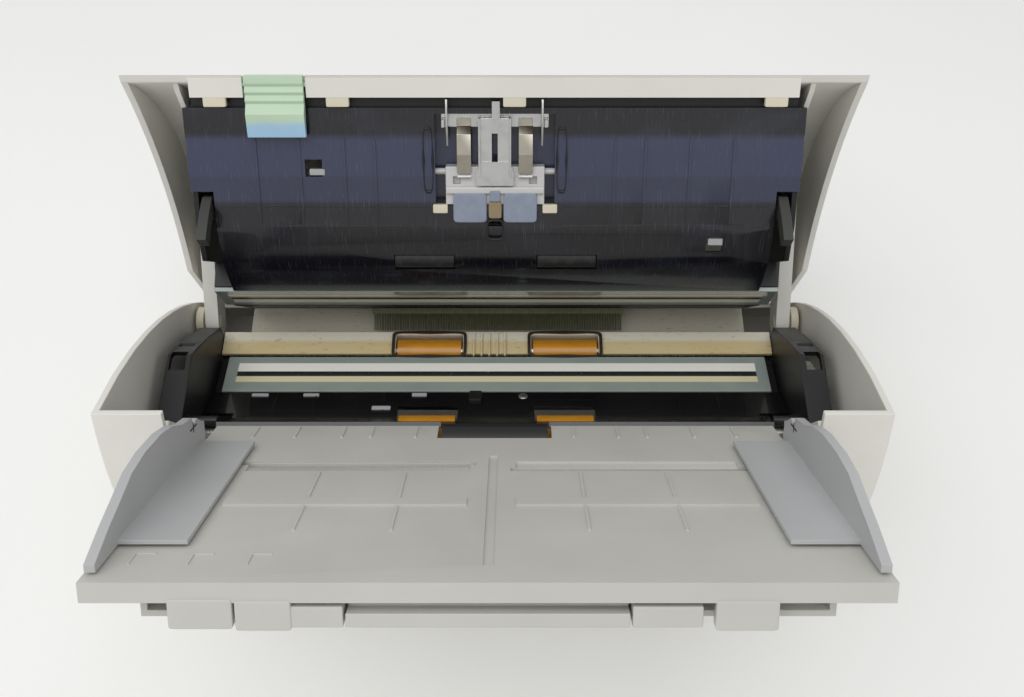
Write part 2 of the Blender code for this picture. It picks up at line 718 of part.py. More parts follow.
HINGE_PIN = 0.003
KNUCKLE_RADIUS = 0.0065
KNUCKLE_WIDE = 0.006
KNUCKLE_INSET = 0.0005
BRACKET_WIDE = 0.0035
KNUCKLE_X = (FRAME_OUTER - KNUCKLE_INSET - KNUCKLE_WIDE, FRAME_OUTER - KNUCKLE_INSET)
BRACKET_X = (FRAME_OUTER + KNUCKLE_INSET, FRAME_OUTER + KNUCKLE_INSET + BRACKET_WIDE)


def disc(centre, radius, first, last, steps):
    return [
        (centre[0] + radius * math.cos(math.radians(a)), centre[1] + radius * math.sin(math.radians(a)))
        for a in between(first, last, steps)
    ]


def hinge_bracket(which, side):
    head = disc((0, 0), KNUCKLE_RADIUS, 180, 0, 12)
    post = head + [(KNUCKLE_RADIUS, frame_low), (-KNUCKLE_RADIUS, frame_low)]
    bracket = outline("hinge_bracket_" + which, post, *span(side, *BRACKET_X), "cream_plastic")
    pin_xs = span(side, KNUCKLE_X[0] - SEAT_GAP, sum(BRACKET_X) / 2)
    pin = x_rod(which + "_hinge_pin", HINGE_PIN, *pin_xs, (0, 0))
    join(bracket, pin)
    carry(BODY, bracket)


both_sides(hinge_bracket)


# Lower paper path: exit plate, glass, sensor housing and the black trough

DECK_HALF = FRAME_INNER - SEAT_GAP
EXIT_EDGE = -0.0090
EXIT_DROP = -0.0125
EXIT_THICK = 0.0012
EXIT_START_SHARE = 0.25
EXIT_WING_SHARE = 1.25
exit_start = tuple(Vector(GLASS_FRONT).lerp(Vector(EXIT_NIP), EXIT_START_SHARE))
apron_end = rim(EXIT_DROP, EXIT_DROP, -WALL - SEAT_GAP, 1)[0][0]
exit_line = [
    (apron_end, EXIT_DROP),
    (EXIT_EDGE, EXIT_DROP),
    (EXIT_EDGE, EXIT_NIP[1] - PAPER_HALF_GAP),
    (exit_start[0], exit_start[1] - PAPER_HALF_GAP),
]
exit_sheet = strip(exit_line, 0, -EXIT_THICK)
exit_plate = outline("exit_plate", exit_sheet, -PAN_HALF, PAN_HALF, "cream_plastic")
exit_wing = strip(exit_line[2:], 0, -EXIT_THICK * EXIT_WING_SHARE)
join(exit_plate, outline("exit_wing", exit_wing, -DECK_HALF, DECK_HALF))
for side in (-1, 1):
    window_reach = EXIT_RADIUS + OVERRUN
    window = block(
        "exit_window",
        span(side, EXIT_ROLLER_X[0] - RUN_GAP, EXIT_ROLLER_X[1] + RUN_GAP),
        (EXIT_AXIS[0] - window_reach, EXIT_EDGE - EXIT_THICK - SEAT_GAP),
        (EXIT_AXIS[1], EXIT_AXIS[1] + window_reach),
    )
    cut(exit_plate, window)

glass_line = [GLASS_FRONT, GLASS_REAR]
SENSOR_DEPTH = 0.0105
lower_glass = outline(
    "lower_glass",
    strip(glass_line, -PAPER_HALF_GAP, -PAPER_HALF_GAP - GLASS_THICK),
    -GLASS_HALF,
    GLASS_HALF,
    "scan_glass",
)
glass_under = PAPER_HALF_GAP + GLASS_THICK + SEAT_GAP
lower_sensor = outline(
    "lower_sensor_housing",
    strip(glass_line, -glass_under, -glass_under - SENSOR_DEPTH),
    -DECK_HALF,
    DECK_HALF,
    "black_plastic",
)

TROUGH_GLASS_GAP = 0.0008
TROUGH_RISE = 0.0080
TROUGH_NOTCH_Y = -0.0575
ROLLER_COVE_HALF = 0.0215
off_glass = (Vector(FEED_NIP) - Vector(GLASS_REAR)).normalized()
GUIDE_START = tuple(Vector(GLASS_REAR) + off_glass * TROUGH_GLASS_GAP)
FEED_WINDOW_SHARE = 0.8
trough_end = tuple(Vector(PLATE_BEND) + UP_PLATE * TROUGH_RISE)
trough_line = [GUIDE_START, FEED_NIP, PLATE_BEND, trough_end]
trough = outline(
    "lower_guide_plate",
    strip(trough_line, -PAPER_HALF_GAP, -PAPER_HALF_GAP - GUIDE_THICK),
    -DECK_HALF,
    DECK_HALF,
    "black_plastic",
)
for side in (-1, 1):
    notch = block(
        "trough_notch",
        span(side, COVER_NECK_HALF - RUN_GAP, DECK_HALF + OVERRUN),
        (FRAME_REAR - OVERRUN, TROUGH_NOTCH_Y),
        (0, FRAME_TOP + OVERRUN),
    )
    window_half = FEED_RADIUS * FEED_WINDOW_SHARE + RUN_GAP
    window = block(
        "feed_window",
        span(side, FEED_ROLLER_X[0] - RUN_GAP, FEED_ROLLER_X[1] + RUN_GAP),
        (FEED_NIP[0] - window_half, FEED_NIP[0] + window_half),
        (FEED_NIP[1] - FEED_RADIUS, FEED_NIP[1] + FEED_RADIUS),
    )
    cut(trough, notch, window)
TROUGH_RIB_SHARES = (0.404, 0.534, 0.663, 0.792)
TROUGH_RIB = 0.0010
RIB_FOOT = 0.0045
for rib_share in TROUGH_RIB_SHARES:
    rib_x = DECK_HALF * rib_share
    for side in (-1, 1):
        rib = outline(
            "trough_rib",
            strip([FEED_NIP, PLATE_BEND], -PAPER_HALF_GAP - GUIDE_THICK / 2, -PAPER_HALF_GAP - RIB_FOOT),
            *span(side, rib_x, rib_x + TROUGH_RIB),
        )
        join(trough, rib)
carry(BODY, exit_plate, lower_glass, lower_sensor, trough)


# Pick roller with its cap, at the foot of the chute

PICK_RADIUS = 0.0085
PICK_HALF = 0.0170
CAP_INNER = PICK_HALF + 0.0012
CAP_OUTER = 0.0206
CAP_THICK = 0.0014
PICK_UP = 0.0070
PAD_THICK = 0.0013
PAD_LIFT = 0.0003
pick_reach = PAD_LIFT + PAD_THICK + SEAT_GAP + PICK_RADIUS
PICK_AXIS = on_plate(PICK_UP, pick_reach)
CAP_RADIUS = PICK_RADIUS + RUN_GAP
CAP_ARC = (62, 155)
CAP_CHEEK_ARC = (66, 215)
CLIP_START_SHARE = 0.45
pick_shell = disc(PICK_AXIS, CAP_RADIUS + CAP_THICK, *CAP_ARC, 9)
pick_shell += disc(PICK_AXIS, CAP_RADIUS, *CAP_ARC[::-1], 9)
pick_cap = outline("pick_roller_cap", pick_shell, -CAP_OUTER, CAP_OUTER, "black_plastic")
clip_line = [tuple(Vector(FEED_NIP).lerp(Vector(PLATE_BEND), CLIP_START_SHARE)), PLATE_BEND, trough_end]
clip_near = PAPER_HALF_GAP + GUIDE_THICK + SEAT_GAP
clip = shifted(clip_line, -clip_near)
cheek_points = disc(PICK_AXIS, CAP_RADIUS + CAP_THICK / 2, *CAP_CHEEK_ARC, 12) + [
    tuple(Vector(clip[0]) + TO_PAPER * RIB_FOOT),
    clip[0],
    clip[1],
]
for side in (-1, 1):
    cheek = outline("cap_cheek", cheek_points, *span(side, CAP_INNER, CAP_OUTER))
    join(pick_cap, cheek)
PICK_SHAFT = 0.002
cap_ends = (-CAP_OUTER - OVERRUN, CAP_OUTER + OVERRUN)
cut(pick_cap, x_rod("cap_bore", PICK_SHAFT + SEAT_GAP, *cap_ends, PICK_AXIS, sides=12))
carry(BODY, pick_cap)
cove = block(
    "pick_cove",
    (-ROLLER_COVE_HALF, ROLLER_COVE_HALF),
    (FRAME_REAR - OVERRUN, PLATE_BEND[0] - PAPER_HALF_GAP),
    (PLATE_BEND[1] + WALL / 2, FRAME_TOP + OVERRUN),
)
cut(trough, cove)

PICK = frame_at("pick_axis", BODY, (0, *PICK_AXIS))
pick_roller = x_rod("pick_roller", PICK_RADIUS, -PICK_HALF, PICK_HALF, PICK_AXIS, "black_rubber", 28)
join(pick_roller, x_rod("pick_shaft", PICK_SHAFT, -CAP_OUTER, CAP_OUTER, PICK_AXIS, sides=12))
carry(PICK, pick_roller)


# Cover shell: the outer skin, its free edge, the hollow ears and the hinge arms

EDGE_STRIP_HALF = POCKET_INNER - RUN_GAP
EDGE_STRIP_DROP = 0.0085
EDGE_STRIP_THICK = 0.0028
EAR_CLEAR = 0.0010
EAR_TIP_Z = 0.0230
EAR_TOP_Z = RIM_REAR[1] + EAR_CLEAR
EAR_WALL_ROOM = 0.0010
EAR_WALL_WIDE = 0.0020
EAR_WALL_X = (FRAME_INNER - EAR_WALL_ROOM - EAR_WALL_WIDE, FRAME_INNER - EAR_WALL_ROOM)
EAR_WALL_LOW = 0.0500
EAR_SHARES = (0.02, 0.30)
ARM_SHARES = (0.42, 0.56)
EDGE_LEAN = math.radians(25)
edge_down = Vector((math.sin(EDGE_LEAN), -math.cos(EDGE_LEAN)))
edge_in = Vector((math.cos(EDGE_LEAN), math.sin(EDGE_LEAN)))
strip_start = Vector(FREE_EDGE)
strip_low = strip_start + edge_down * EDGE_STRIP_DROP

shell_points = skin(0, 1, steps=18) + skin(1, 1, WALL, 1)[:1] + rim(EAR_TIP_Z, EAR_TOP_Z, EAR_CLEAR)
cover_shell = outline("cover_shell", shell_points, -HALF_WIDTH, HALF_WIDTH, "white_shell")
room_start = skin(0, 0, WALL, 1)[0]
room_end = skin(1, 1, WALL, 1)[0]
room_points = [(room_start[0] - OVERRUN, room_start[1])] + skin(0, 1, WALL, 18)
room_low = room_end[1] - OVERRUN * 3
room_points += [(room_end[0], room_low), (room_start[0] - OVERRUN, room_low)]
cut(cover_shell, outline("shell_room", room_points, -HALF_WIDTH + WALL, HALF_WIDTH - WALL))
edge_points = [
    tuple(strip_start + edge_down * WALL / 2),
    tuple(strip_low),
    tuple(strip_low + edge_in * EDGE_STRIP_THICK),
    tuple(strip_start + edge_in * (EDGE_STRIP_THICK + WALL / 2) + edge_down * WALL / 2),
]
join(cover_shell, outline("free_edge", edge_points, -EDGE_STRIP_HALF, EDGE_STRIP_HALF))
inner_ear = skin(*EAR_SHARES, WALL / 2, 6) + rim(EAR_WALL_LOW, EAR_TOP_Z - WALL, EAR_CLEAR, 8)
arm_points = [
    (-KNUCKLE_RADIUS, 0),
    *skin(*ARM_SHARES, WALL / 2, 1),
    (KNUCKLE_RADIUS, 0),
]
arm_points += disc((0, 0), KNUCKLE_RADIUS, 0, -180, 12)[1:-1]
for which, side in (("left", -1), ("right", 1)):
    join(cover_shell, outline(which + "_ear_wall", inner_ear, *span(side, *EAR_WALL_X)))
    join(cover_shell, outline(which + "_arm", arm_points, *span(side, *KNUCKLE_X)))
    hole_span = span(side, KNUCKLE_X[0] - OVERRUN, KNUCKLE_X[1] + SEAT_GAP)
    cut(cover_shell, x_rod(which + "_hinge_bore", HINGE_PIN + SEAT_GAP, *hole_span, (0, 0)))

# Release lever in a gap of the free edge, on a pin of its own
LEVER_INSET = 0.022
LEVER_WIDE = 0.0225
LEVER_X = (-POCKET_INNER + LEVER_INSET, -POCKET_INNER + LEVER_INSET + LEVER_WIDE)
LEVER_LENGTH = 0.0235
LEVER_THICK = 0.0030
LEVER_PROUD = 0.0024
LEVER_PIN = 0.0009
LEVER_PIN_REACH = 0.0025
LEVER_LEAN = math.radians(19)
LEVER_PIN_SHARE = 0.45
lever_drop = EDGE_STRIP_DROP * LEVER_PIN_SHARE
lever_middle = strip_start + edge_down * lever_drop + edge_in * (EDGE_STRIP_THICK / 2)
LEVER_AXIS = tuple(lever_middle)
lever_gap = [
    tuple(strip_start + edge_down * (-OVERRUN) + edge_in * (-OVERRUN)),
    tuple(strip_low + edge_down * OVERRUN + edge_in * (-OVERRUN)),
    tuple(strip_low + edge_down * OVERRUN + edge_in * OVERRUN),
    tuple(strip_start + edge_down * (-OVERRUN) + edge_in * OVERRUN),
]
cut(cover_shell, outline("lever_gap", lever_gap, LEVER_X[0] - RUN_GAP, LEVER_X[1] + RUN_GAP))
pin_ends = (LEVER_X[0] - LEVER_PIN_REACH, LEVER_X[1] + LEVER_PIN_REACH)
pin_room = (pin_ends[0] - RUN_GAP, pin_ends[1] + RUN_GAP)
cut(cover_shell, x_rod("lever_bore", LEVER_PIN + SEAT_GAP, *pin_room, LEVER_AXIS, sides=10))
lever_down = Vector((math.sin(LEVER_LEAN), -math.cos(LEVER_LEAN)))
lever_in = Vector((math.cos(LEVER_LEAN), math.sin(LEVER_LEAN)))
LEVER_TOP_SHARE = 0.3
LEVER_BEND_SHARE = 0.62
LEVER_BEND_OUT_SHARE = 0.4
LEVER_TIP_SHARE = 0.3
SCOOP_COUNT = 3
SCOOP_PITCH = 0.0032
SCOOP_DEPTH = 0.0009
SCOOP_EDGE_SHARE = 0.35
lever_top = strip_start - lever_in * LEVER_PROUD * LEVER_TOP_SHARE
lever_face = [lever_top]
for scoop in range(SCOOP_COUNT):
    start = lever_top + lever_down * SCOOP_PITCH * (scoop + 1)
    lever_face.append(start)
    lever_face.append(start + lever_in * SCOOP_DEPTH + lever_down * SCOOP_PITCH * SCOOP_EDGE_SHARE)
lever_bend = lever_top + lever_down * (LEVER_LENGTH * LEVER_BEND_SHARE)
lever_foot = lever_top + lever_down * LEVER_LENGTH
lever_face.append(lever_bend - lever_in * LEVER_PROUD * LEVER_BEND_OUT_SHARE)
lever_face.append(lever_foot + lever_in * LEVER_THICK * LEVER_TIP_SHARE)
lever_face.append(lever_foot + lever_in * LEVER_THICK)
lever_face.append(lever_top + lever_in * LEVER_THICK)
LEVER = frame_at("lever_axis", COVER, (0, *LEVER_AXIS))
release_lever = outline("release_lever", [tuple(point) for point in lever_face], *LEVER_X, "green_lever")
join(release_lever, x_rod("lever_pin", LEVER_PIN, *pin_ends, LEVER_AXIS, sides=10))
carry(LEVER, release_lever)

# Scan and power buttons in the front of the cover, each kept in by a flange
BUTTON_SHARE = 0.62
BUTTON_PROUD = 0.0012
FLANGE_GAP = 0.0016
FLANGE_THICK = 0.0012
FLANGE_EXTRA = 0.0012
BUTTON_INSET = 0.044
BUTTON_APART = 0.022
SCAN_RADIUS = 0.0070
POWER_RADIUS = 0.0045
scan_x = -HALF_WIDTH + BUTTON_INSET
BUTTONS = (("scan_button", scan_x, SCAN_RADIUS), ("power_button", scan_x + BUTTON_APART, POWER_RADIUS))
button_face = Vector((0, *skin(BUTTON_SHARE, BUTTON_SHARE, 0, 1)[0]))
button_back = Vector((0, *skin(BUTTON_SHARE, BUTTON_SHARE, WALL, 1)[0]))
BUTTON_OUT = (button_face - button_back).normalized()
for button_name, button_x, button_radius in BUTTONS:
    aside = Vector((button_x, 0, 0))
    top = aside + button_face + BUTTON_OUT * BUTTON_PROUD
    flange = aside + button_back - BUTTON_OUT * FLANGE_GAP
    foot = flange - BUTTON_OUT * FLANGE_THICK
    button = rod(button_name, button_radius, foot, top, "grey_guide", 24)
    join(button, rod(button_name + "_flange", button_radius + FLANGE_EXTRA, foot, flange, sides=24))
    hole = rod(button_name + "_hole", button_radius + SEAT_GAP, flange, top + BUTTON_OUT * OVERRUN, sides=24)
    cut(cover_shell, hole)
    carry(COVER, button)
carry(COVER, cover_shell)


# Cover guide plate: the dark glossy plate with its ribs, windows and the pocket for the pads

PLATE_NECK_UP = 0.0150
PLATE_RIB_SHARES = (0.3859, 0.4855, 0.6307, 0.7718)
PLATE_RIB = 0.0009
PLATE_RIB_UP = (0.002, 0.0360)
PAD_POCKET_HALF = 0.0235
PAD_POCKET_UP = (0.0095, 0.0455)
PAD_POCKET_DEEP = 0.0070
plate_line = [GUIDE_START, FEED_NIP, PLATE_BEND, PLATE_TOP]
cover_plate = outline(
    "cover_guide_plate",
    strip(plate_line, PAPER_HALF_GAP, PAPER_HALF_GAP + GUIDE_THICK),
    -COVER_PLATE_HALF,
    COVER_PLATE_HALF,
    "dark_plate",
)
pocket_walls = plate_block(
    "pad_pocket_walls",
    (-PAD_POCKET_HALF - GUIDE_THICK, PAD_POCKET_HALF + GUIDE_THICK),
    (PAD_POCKET_UP[0] - GUIDE_THICK, PAD_POCKET_UP[1] + GUIDE_THICK),
    (-PAD_POCKET_DEEP - GUIDE_THICK, -GUIDE_THICK / 2),
)
pocket_xs = (-PAD_POCKET_HALF, PAD_POCKET_HALF)
pocket_space = plate_block("pad_pocket", pocket_xs, PAD_POCKET_UP, (-PAD_POCKET_DEEP, OVERRUN))
join(cover_plate, pocket_walls)
cut(cover_plate, pocket_space)
for side in (-1, 1):
    neck_top = on_plate(PLATE_NECK_UP, 0)[1]
    neck_xs = span(side, COVER_NECK_HALF, HALF_WIDTH)
    cut(cover_plate, block("plate_neck", neck_xs, (FRAME_REAR * 2, 0), (0, neck_top)))
    for rib_share in PLATE_RIB_SHARES:
        rib_x = COVER_PLATE_HALF * rib_share
        rib = plate_block(
            "plate_rib",
            span(side, rib_x, rib_x + PLATE_RIB),
            PLATE_RIB_UP,
            (-GUIDE_THICK / 2, PAPER_HALF_GAP),
        )
        join(cover_plate, rib)
VIEW_WINDOW = 0.0068
VIEW_SHARES = (-0.619, 0.705)
VIEW_UPS = (0.0210, -0.0105)
for window_share, window_up in zip(VIEW_SHARES, VIEW_UPS):
    window_x = COVER_PLATE_HALF * window_share
    window_ups = (window_up, window_up + VIEW_WINDOW)
    window_outs = (-PAD_POCKET_DEEP, OVERRUN)
    cut(cover_plate, plate_block("view_window", (window_x, window_x + VIEW_WINDOW), window_ups, window_outs))
SLOT_HALF = 0.0030
SLOT_UP = (0.0010, 0.0070)
slot_outs = (-GUIDE_THICK - OVERRUN / 4, OVERRUN)
cut(cover_plate, plate_block("plate_slot", (-SLOT_HALF, SLOT_HALF), SLOT_UP, slot_outs))

# Pinch rollers in the plate, each on ears behind it
PINCH_AXIS = tuple(Vector(FEED_NIP) + FEED_NORMAL * (PINCH_RADIUS + NIP_GAP))
PINCH_EAR = 0.0018
PINCH_STUB = 0.0016
feed_along = Vector((-FEED_NORMAL.y, FEED_NORMAL.x))


def off_feed(along, out):
    return tuple(Vector(FEED_NIP) + feed_along * along + FEED_NORMAL * out)


for which, side in (("left", -1), ("right", 1)):
    name = "pinch_roller_" + which
    empty = frame_at("pinch_axis_" + which, COVER, (0, *PINCH_AXIS))
    window = [off_feed(-PINCH_RADIUS, 0), off_feed(PINCH_RADIUS, 0)]
    window += [off_feed(PINCH_RADIUS, OVERRUN), off_feed(-PINCH_RADIUS, OVERRUN)]
    low, high = span(side, FEED_ROLLER_X[0] - SEAT_GAP, FEED_ROLLER_X[1] + SEAT_GAP)
    cut(cover_plate, outline("pinch_window", window, low, high))
    ear_low = PAPER_HALF_GAP + GUIDE_THICK / 2
    ear_high = PINCH_RADIUS + PINCH_SHAFT + WALL
    ear = [off_feed(-WALL, ear_low), off_feed(WALL, ear_low)]
    ear += [off_feed(WALL, ear_high), off_feed(-WALL, ear_high)]
    for ear_xs in ((low - PINCH_EAR, low), (high, high + PINCH_EAR)):
        join(cover_plate, outline("pinch_ear", ear, *ear_xs))
        bore_xs = (ear_xs[0] - SEAT_GAP, ear_xs[1] + SEAT_GAP)
        cut(cover_plate, x_rod("pinch_bore", PINCH_SHAFT + SEAT_GAP, *bore_xs, PINCH_AXIS, sides=12))
    roller = x_rod(name, PINCH_RADIUS, *span(side, *FEED_ROLLER_X), PINCH_AXIS, "black_rubber", 20)
    stub_xs = span(side, FEED_ROLLER_X[0] - PINCH_STUB, FEED_ROLLER_X[1] + PINCH_STUB)
    join(roller, x_rod(name + "_stub", PINCH_SHAFT, *stub_xs, PINCH_AXIS, sides=12))
    carry(empty, roller)
carry(COVER, cover_plate)


# Separation pads: holder on a pivot, two pads, two leaf springs and the bracket over them

HOLDER_HALF = 0.0195
HOLDER_UP = (PAD_POCKET_UP[0] + SEAT_GAP, 0.0250)
HOLDER_BACK = 0.0062
HOLDER_PIVOT_UP = 0.0225
HOLDER_PIVOT_BACK = 0.0035
HOLDER_PIN = 0.0013
HOLDER_AXIS = on_plate(HOLDER_PIVOT_UP, -HOLDER_PIVOT_BACK)
PADS = frame_at("pad_pivot", COVER, (0, *HOLDER_AXIS))
holder = plate_block("pad_holder", (-HOLDER_HALF, HOLDER_HALF), HOLDER_UP, (-HOLDER_BACK, 0), "pad_grey")
HOLDER_WINDOW_INNER = (0.0034, 0.0062)
HOLDER_WINDOW_OUTER = (0.0135, 0.0165)
HOLDER_WINDOW_UP = (0.0180, 0.0210)
for side in (-1, 1):
    for window_xs in (HOLDER_WINDOW_INNER, HOLDER_WINDOW_OUTER):
        window_xs = span(side, *window_xs)
        cut(holder, plate_block("holder_window", window_xs, HOLDER_WINDOW_UP, (-WALL, OVERRUN)))
pin_half = PAD_POCKET_HALF + GUIDE_THICK / 2
join(holder, x_rod("holder_pin", HOLDER_PIN, -pin_half, pin_half, HOLDER_AXIS, sides=12))
bore_half = PAD_POCKET_HALF + GUIDE_THICK - SEAT_GAP
bore_radius = HOLDER_PIN + SEAT_GAP
cut(cover_plate, x_rod("pad_pivot_bore", bore_radius, -bore_half, bore_half, HOLDER_AXIS, sides=12))
PAD_XS = (0.0034, 0.0165)
PAD_UP = (0.0032, 0.0146)
for which, side in (("left", -1), ("right", 1)):
    pad_outs = (PAD_LIFT, PAD_LIFT + PAD_THICK)
    pad = plate_block("pad_" + which, span(side, *PAD_XS), PAD_UP, pad_outs, "pad_rubber")
    carry(PADS, pad)
carry(PADS, holder)

BRACKET_FOOT_UP = (0.0400, PAD_POCKET_UP[1] - SEAT_GAP)
BRACKET_FOOT_HALF = 0.0210
BRACKET_FOOT_TOP = 0.0030
BRACKET_HALF = 0.0064
BRACKET_UP = (0.0215, 0.0440)
BRACKET_SHEET = 0.0008
BRACKET_RISE = 0.0036
BRACKET_LIFT = 0.0004
bracket_low = -PAD_POCKET_DEEP + SEAT_GAP
bracket_xs = (-BRACKET_HALF, BRACKET_HALF)
bracket_outs = (BRACKET_LIFT, BRACKET_RISE)
pad_bracket = plate_block("pad_bracket", bracket_xs, BRACKET_UP, bracket_outs, "bright_steel")
bracket_inner = BRACKET_HALF - BRACKET_SHEET
bracket_ends = (BRACKET_UP[0] - OVERRUN, BRACKET_UP[1] + OVERRUN)
channel_outs = (BRACKET_LIFT + BRACKET_SHEET, BRACKET_RISE + OVERRUN)
cut(pad_bracket, plate_block("bracket_channel", (-bracket_inner, bracket_inner), bracket_ends, channel_outs))
foot_xs = (-BRACKET_FOOT_HALF, BRACKET_FOOT_HALF)
join(pad_bracket, plate_block("bracket_foot", foot_xs, BRACKET_FOOT_UP, (bracket_low, -BRACKET_FOOT_TOP)))
leg_up = (BRACKET_FOOT_UP[0] + BRACKET_SHEET, BRACKET_FOOT_UP[1] - BRACKET_SHEET * 2)
leg_outs = (-BRACKET_FOOT_TOP - WALL / 4, BRACKET_LIFT + BRACKET_SHEET / 2)
join(pad_bracket, plate_block("bracket_leg", (-bracket_inner, bracket_inner), leg_up, leg_outs))
SLIT_HALF = 0.0011
SLIT_UP = (0.0260, 0.0380)
cut(pad_bracket, plate_block("bracket_slit", (-SLIT_HALF, SLIT_HALF), SLIT_UP, (-WALL, OVERRUN)))
BLADE_OUTER = 0.0205
BLADE_THICK = 0.0012
BLADE_RISE = 0.0040
for side in (-1, 1):
    blade_xs = span(side, BLADE_OUTER - BLADE_THICK, BLADE_OUTER)
    blade_outs = (-BRACKET_FOOT_TOP - WALL / 4, BLADE_RISE)
    join(pad_bracket, plate_block("bracket_blade", blade_xs, leg_up, blade_outs))
carry(COVER, pad_bracket)

SPRING_XS = (0.0093, 0.0148)
SPRING_THICK = 0.0006
SPRING_BOW = 0.0016
SPRING_LINE_SHARES = ((0.4945, 0.25), (0.6593, 1), (0.8242, 0.5), (0.8901, -1.6875), (0.9560, -1.6875))
for which, side in (("left", -1), ("right", 1)):
    leaf_line = [on_plate(PAD_POCKET_UP[1] * up, SPRING_BOW * out) for up, out in SPRING_LINE_SHARES]
    leaf_sheet = strip(leaf_line, -SPRING_THICK, 0)
    leaf = outline("leaf_spring_" + which, leaf_sheet, *span(side, *SPRING_XS), "spring_steel")
    carry(COVER, leaf)


# Upper glass, sensor housing with the exit guide, exit idler and brush

upper_glass = outline(
    "upper_glass",
    strip(glass_line, PAPER_HALF_GAP, PAPER_HALF_GAP + GLASS_THICK),
    -GLASS_HALF,
    GLASS_HALF,
    "scan_glass",
)
GUIDE_LIP_HALF = PAN_HALF + SEAT_GAP / 3
GUIDE_LIP_FRONT = 0.0115
GUIDE_LIP_LOW = 0.0064
GUIDE_LIP_THICK = 0.0017
glass_over = PAPER_HALF_GAP + GLASS_THICK + SEAT_GAP
upper_sensor = outline(
    "upper_sensor_housing",
    strip(glass_line, glass_over, glass_over + SENSOR_DEPTH),
    -GLASS_HALF,
    GLASS_HALF,
    "black_plastic",
)
housing_front = shifted(glass_line, glass_over)[0]
guide_lip = [
    (housing_front[0] - WALL, housing_front[1] + SEAT_GAP + WALL / 2),
    (housing_front[0] + SEAT_GAP * 2, housing_front[1] + SEAT_GAP),
    (housing_front[0] + WALL / 2, GUIDE_LIP_LOW),
    (GUIDE_LIP_FRONT, GUIDE_LIP_LOW),
    (GUIDE_LIP_FRONT, GUIDE_LIP_LOW + GUIDE_LIP_THICK),
    (housing_front[0] + WALL, GUIDE_LIP_LOW + GUIDE_LIP_THICK),
    (housing_front[0] - WALL, housing_front[1] + SENSOR_DEPTH / 2),
]
join(upper_sensor, outline("guide_lip", guide_lip, -GUIDE_LIP_HALF, GUIDE_LIP_HALF))
EXIT_IDLER_AXIS = (EXIT_AXIS[0], EXIT_NIP[1] + NIP_GAP + PINCH_RADIUS)
IDLER_SHAFT_HALF = 0.0500
idler_ends = (-IDLER_SHAFT_HALF, IDLER_SHAFT_HALF)
exit_idler = x_rod("exit_idler", PINCH_SHAFT, *idler_ends, EXIT_IDLER_AXIS, "black_rubber", 12)
for side in (-1, 1):
    wheel_xs = span(side, *EXIT_ROLLER_X)
    join(exit_idler, x_rod("idler_wheel", PINCH_RADIUS, *wheel_xs, EXIT_IDLER_AXIS, sides=20))
    slot = block(
        "idler_slot",
        (wheel_xs[0] - RUN_GAP, wheel_xs[1] + RUN_GAP),
        (EXIT_IDLER_AXIS[0] - PINCH_RADIUS - SEAT_GAP, EXIT_IDLER_AXIS[0] + PINCH_RADIUS + SEAT_GAP),
        (GUIDE_LIP_LOW - OVERRUN, EXIT_IDLER_AXIS[1] + PINCH_RADIUS + SEAT_GAP),
    )
    cut(upper_sensor, slot)
    ear_start = EXIT_ROLLER_X[1] + RUN_GAP * 2
    ear_xs = span(side, ear_start, ear_start + PINCH_EAR)
    ear = block(
        "idler_ear",
        ear_xs,
        (EXIT_IDLER_AXIS[0] - WALL, EXIT_IDLER_AXIS[0] + WALL),
        (GUIDE_LIP_LOW + GUIDE_LIP_THICK / 2, EXIT_IDLER_AXIS[1] + WALL),
    )
    join(upper_sensor, ear)
groove_half = IDLER_SHAFT_HALF + SEAT_GAP
groove_radius = PINCH_SHAFT + SEAT_GAP
cut(upper_sensor, x_rod("idler_groove", groove_radius, -groove_half, groove_half, EXIT_IDLER_AXIS, sides=12))
EXIT_IDLER = frame_at("exit_idler_axis", COVER, (0, *EXIT_IDLER_AXIS))
carry(EXIT_IDLER, exit_idler)
carry(COVER, upper_glass, upper_sensor)

BRUSH_HALF = 0.0585
BRUSH_Y = (0.0040, 0.0080)
BRUSH_TOP = GUIDE_LIP_LOW - SEAT_GAP
BRUSH_BACK = 0.0026
BRISTLE_LENGTH = 0.0078
BRISTLE_RADIUS = 0.00028
BRISTLE_COUNT = 150
BRISTLE_ROWS_SHARES = (0.28, 0.72)
BRISTLE_LEAN = 0.0006
BRISTLE_TIP_SHARE = 0.6
LEAN_TURN = 1.7
ROW_TURN = 2.0
brush_low = BRUSH_TOP - BRUSH_BACK
brush = block("antistatic_brush", (-BRUSH_HALF, BRUSH_HALF), BRUSH_Y, (brush_low, BRUSH_TOP), "brush_fibre")
tuft_form = bmesh.new()
bristle_pitch = (2 * BRUSH_HALF - BRISTLE_RADIUS * 4) / BRISTLE_COUNT
for row, row_share in enumerate(BRISTLE_ROWS_SHARES):
    bristle_y = BRUSH_Y[0] + (BRUSH_Y[1] - BRUSH_Y[0]) * row_share
    for strand in range(BRISTLE_COUNT):
        bristle_x = -BRUSH_HALF + BRISTLE_RADIUS * 2 + bristle_pitch * (strand + 1 / 4 + row / 2)
        lean = BRISTLE_LEAN * math.sin(strand * LEAN_TURN + row * ROW_TURN)
        root = Vector((bristle_x, bristle_y, brush_low + BRUSH_BACK / 2))
        tip = Vector((bristle_x, bristle_y + lean, brush_low - BRISTLE_LENGTH))
        turn = Vector((0, 0, 1)).rotation_difference(tip - root).to_matrix().to_4x4()
        place = Matrix.Translation((root + tip) / 2) @ turn
        bmesh.ops.create_cone(
            tuft_form,
            cap_ends=True,
            segments=3,
            radius1=BRISTLE_RADIUS,
            radius2=BRISTLE_RADIUS * BRISTLE_TIP_SHARE,
            depth=(tip - root).length,
            matrix=place,
        )
tuft_mesh = bpy.data.meshes.new("bristles")
tuft_form.to_mesh(tuft_mesh)
tuft_form.free()
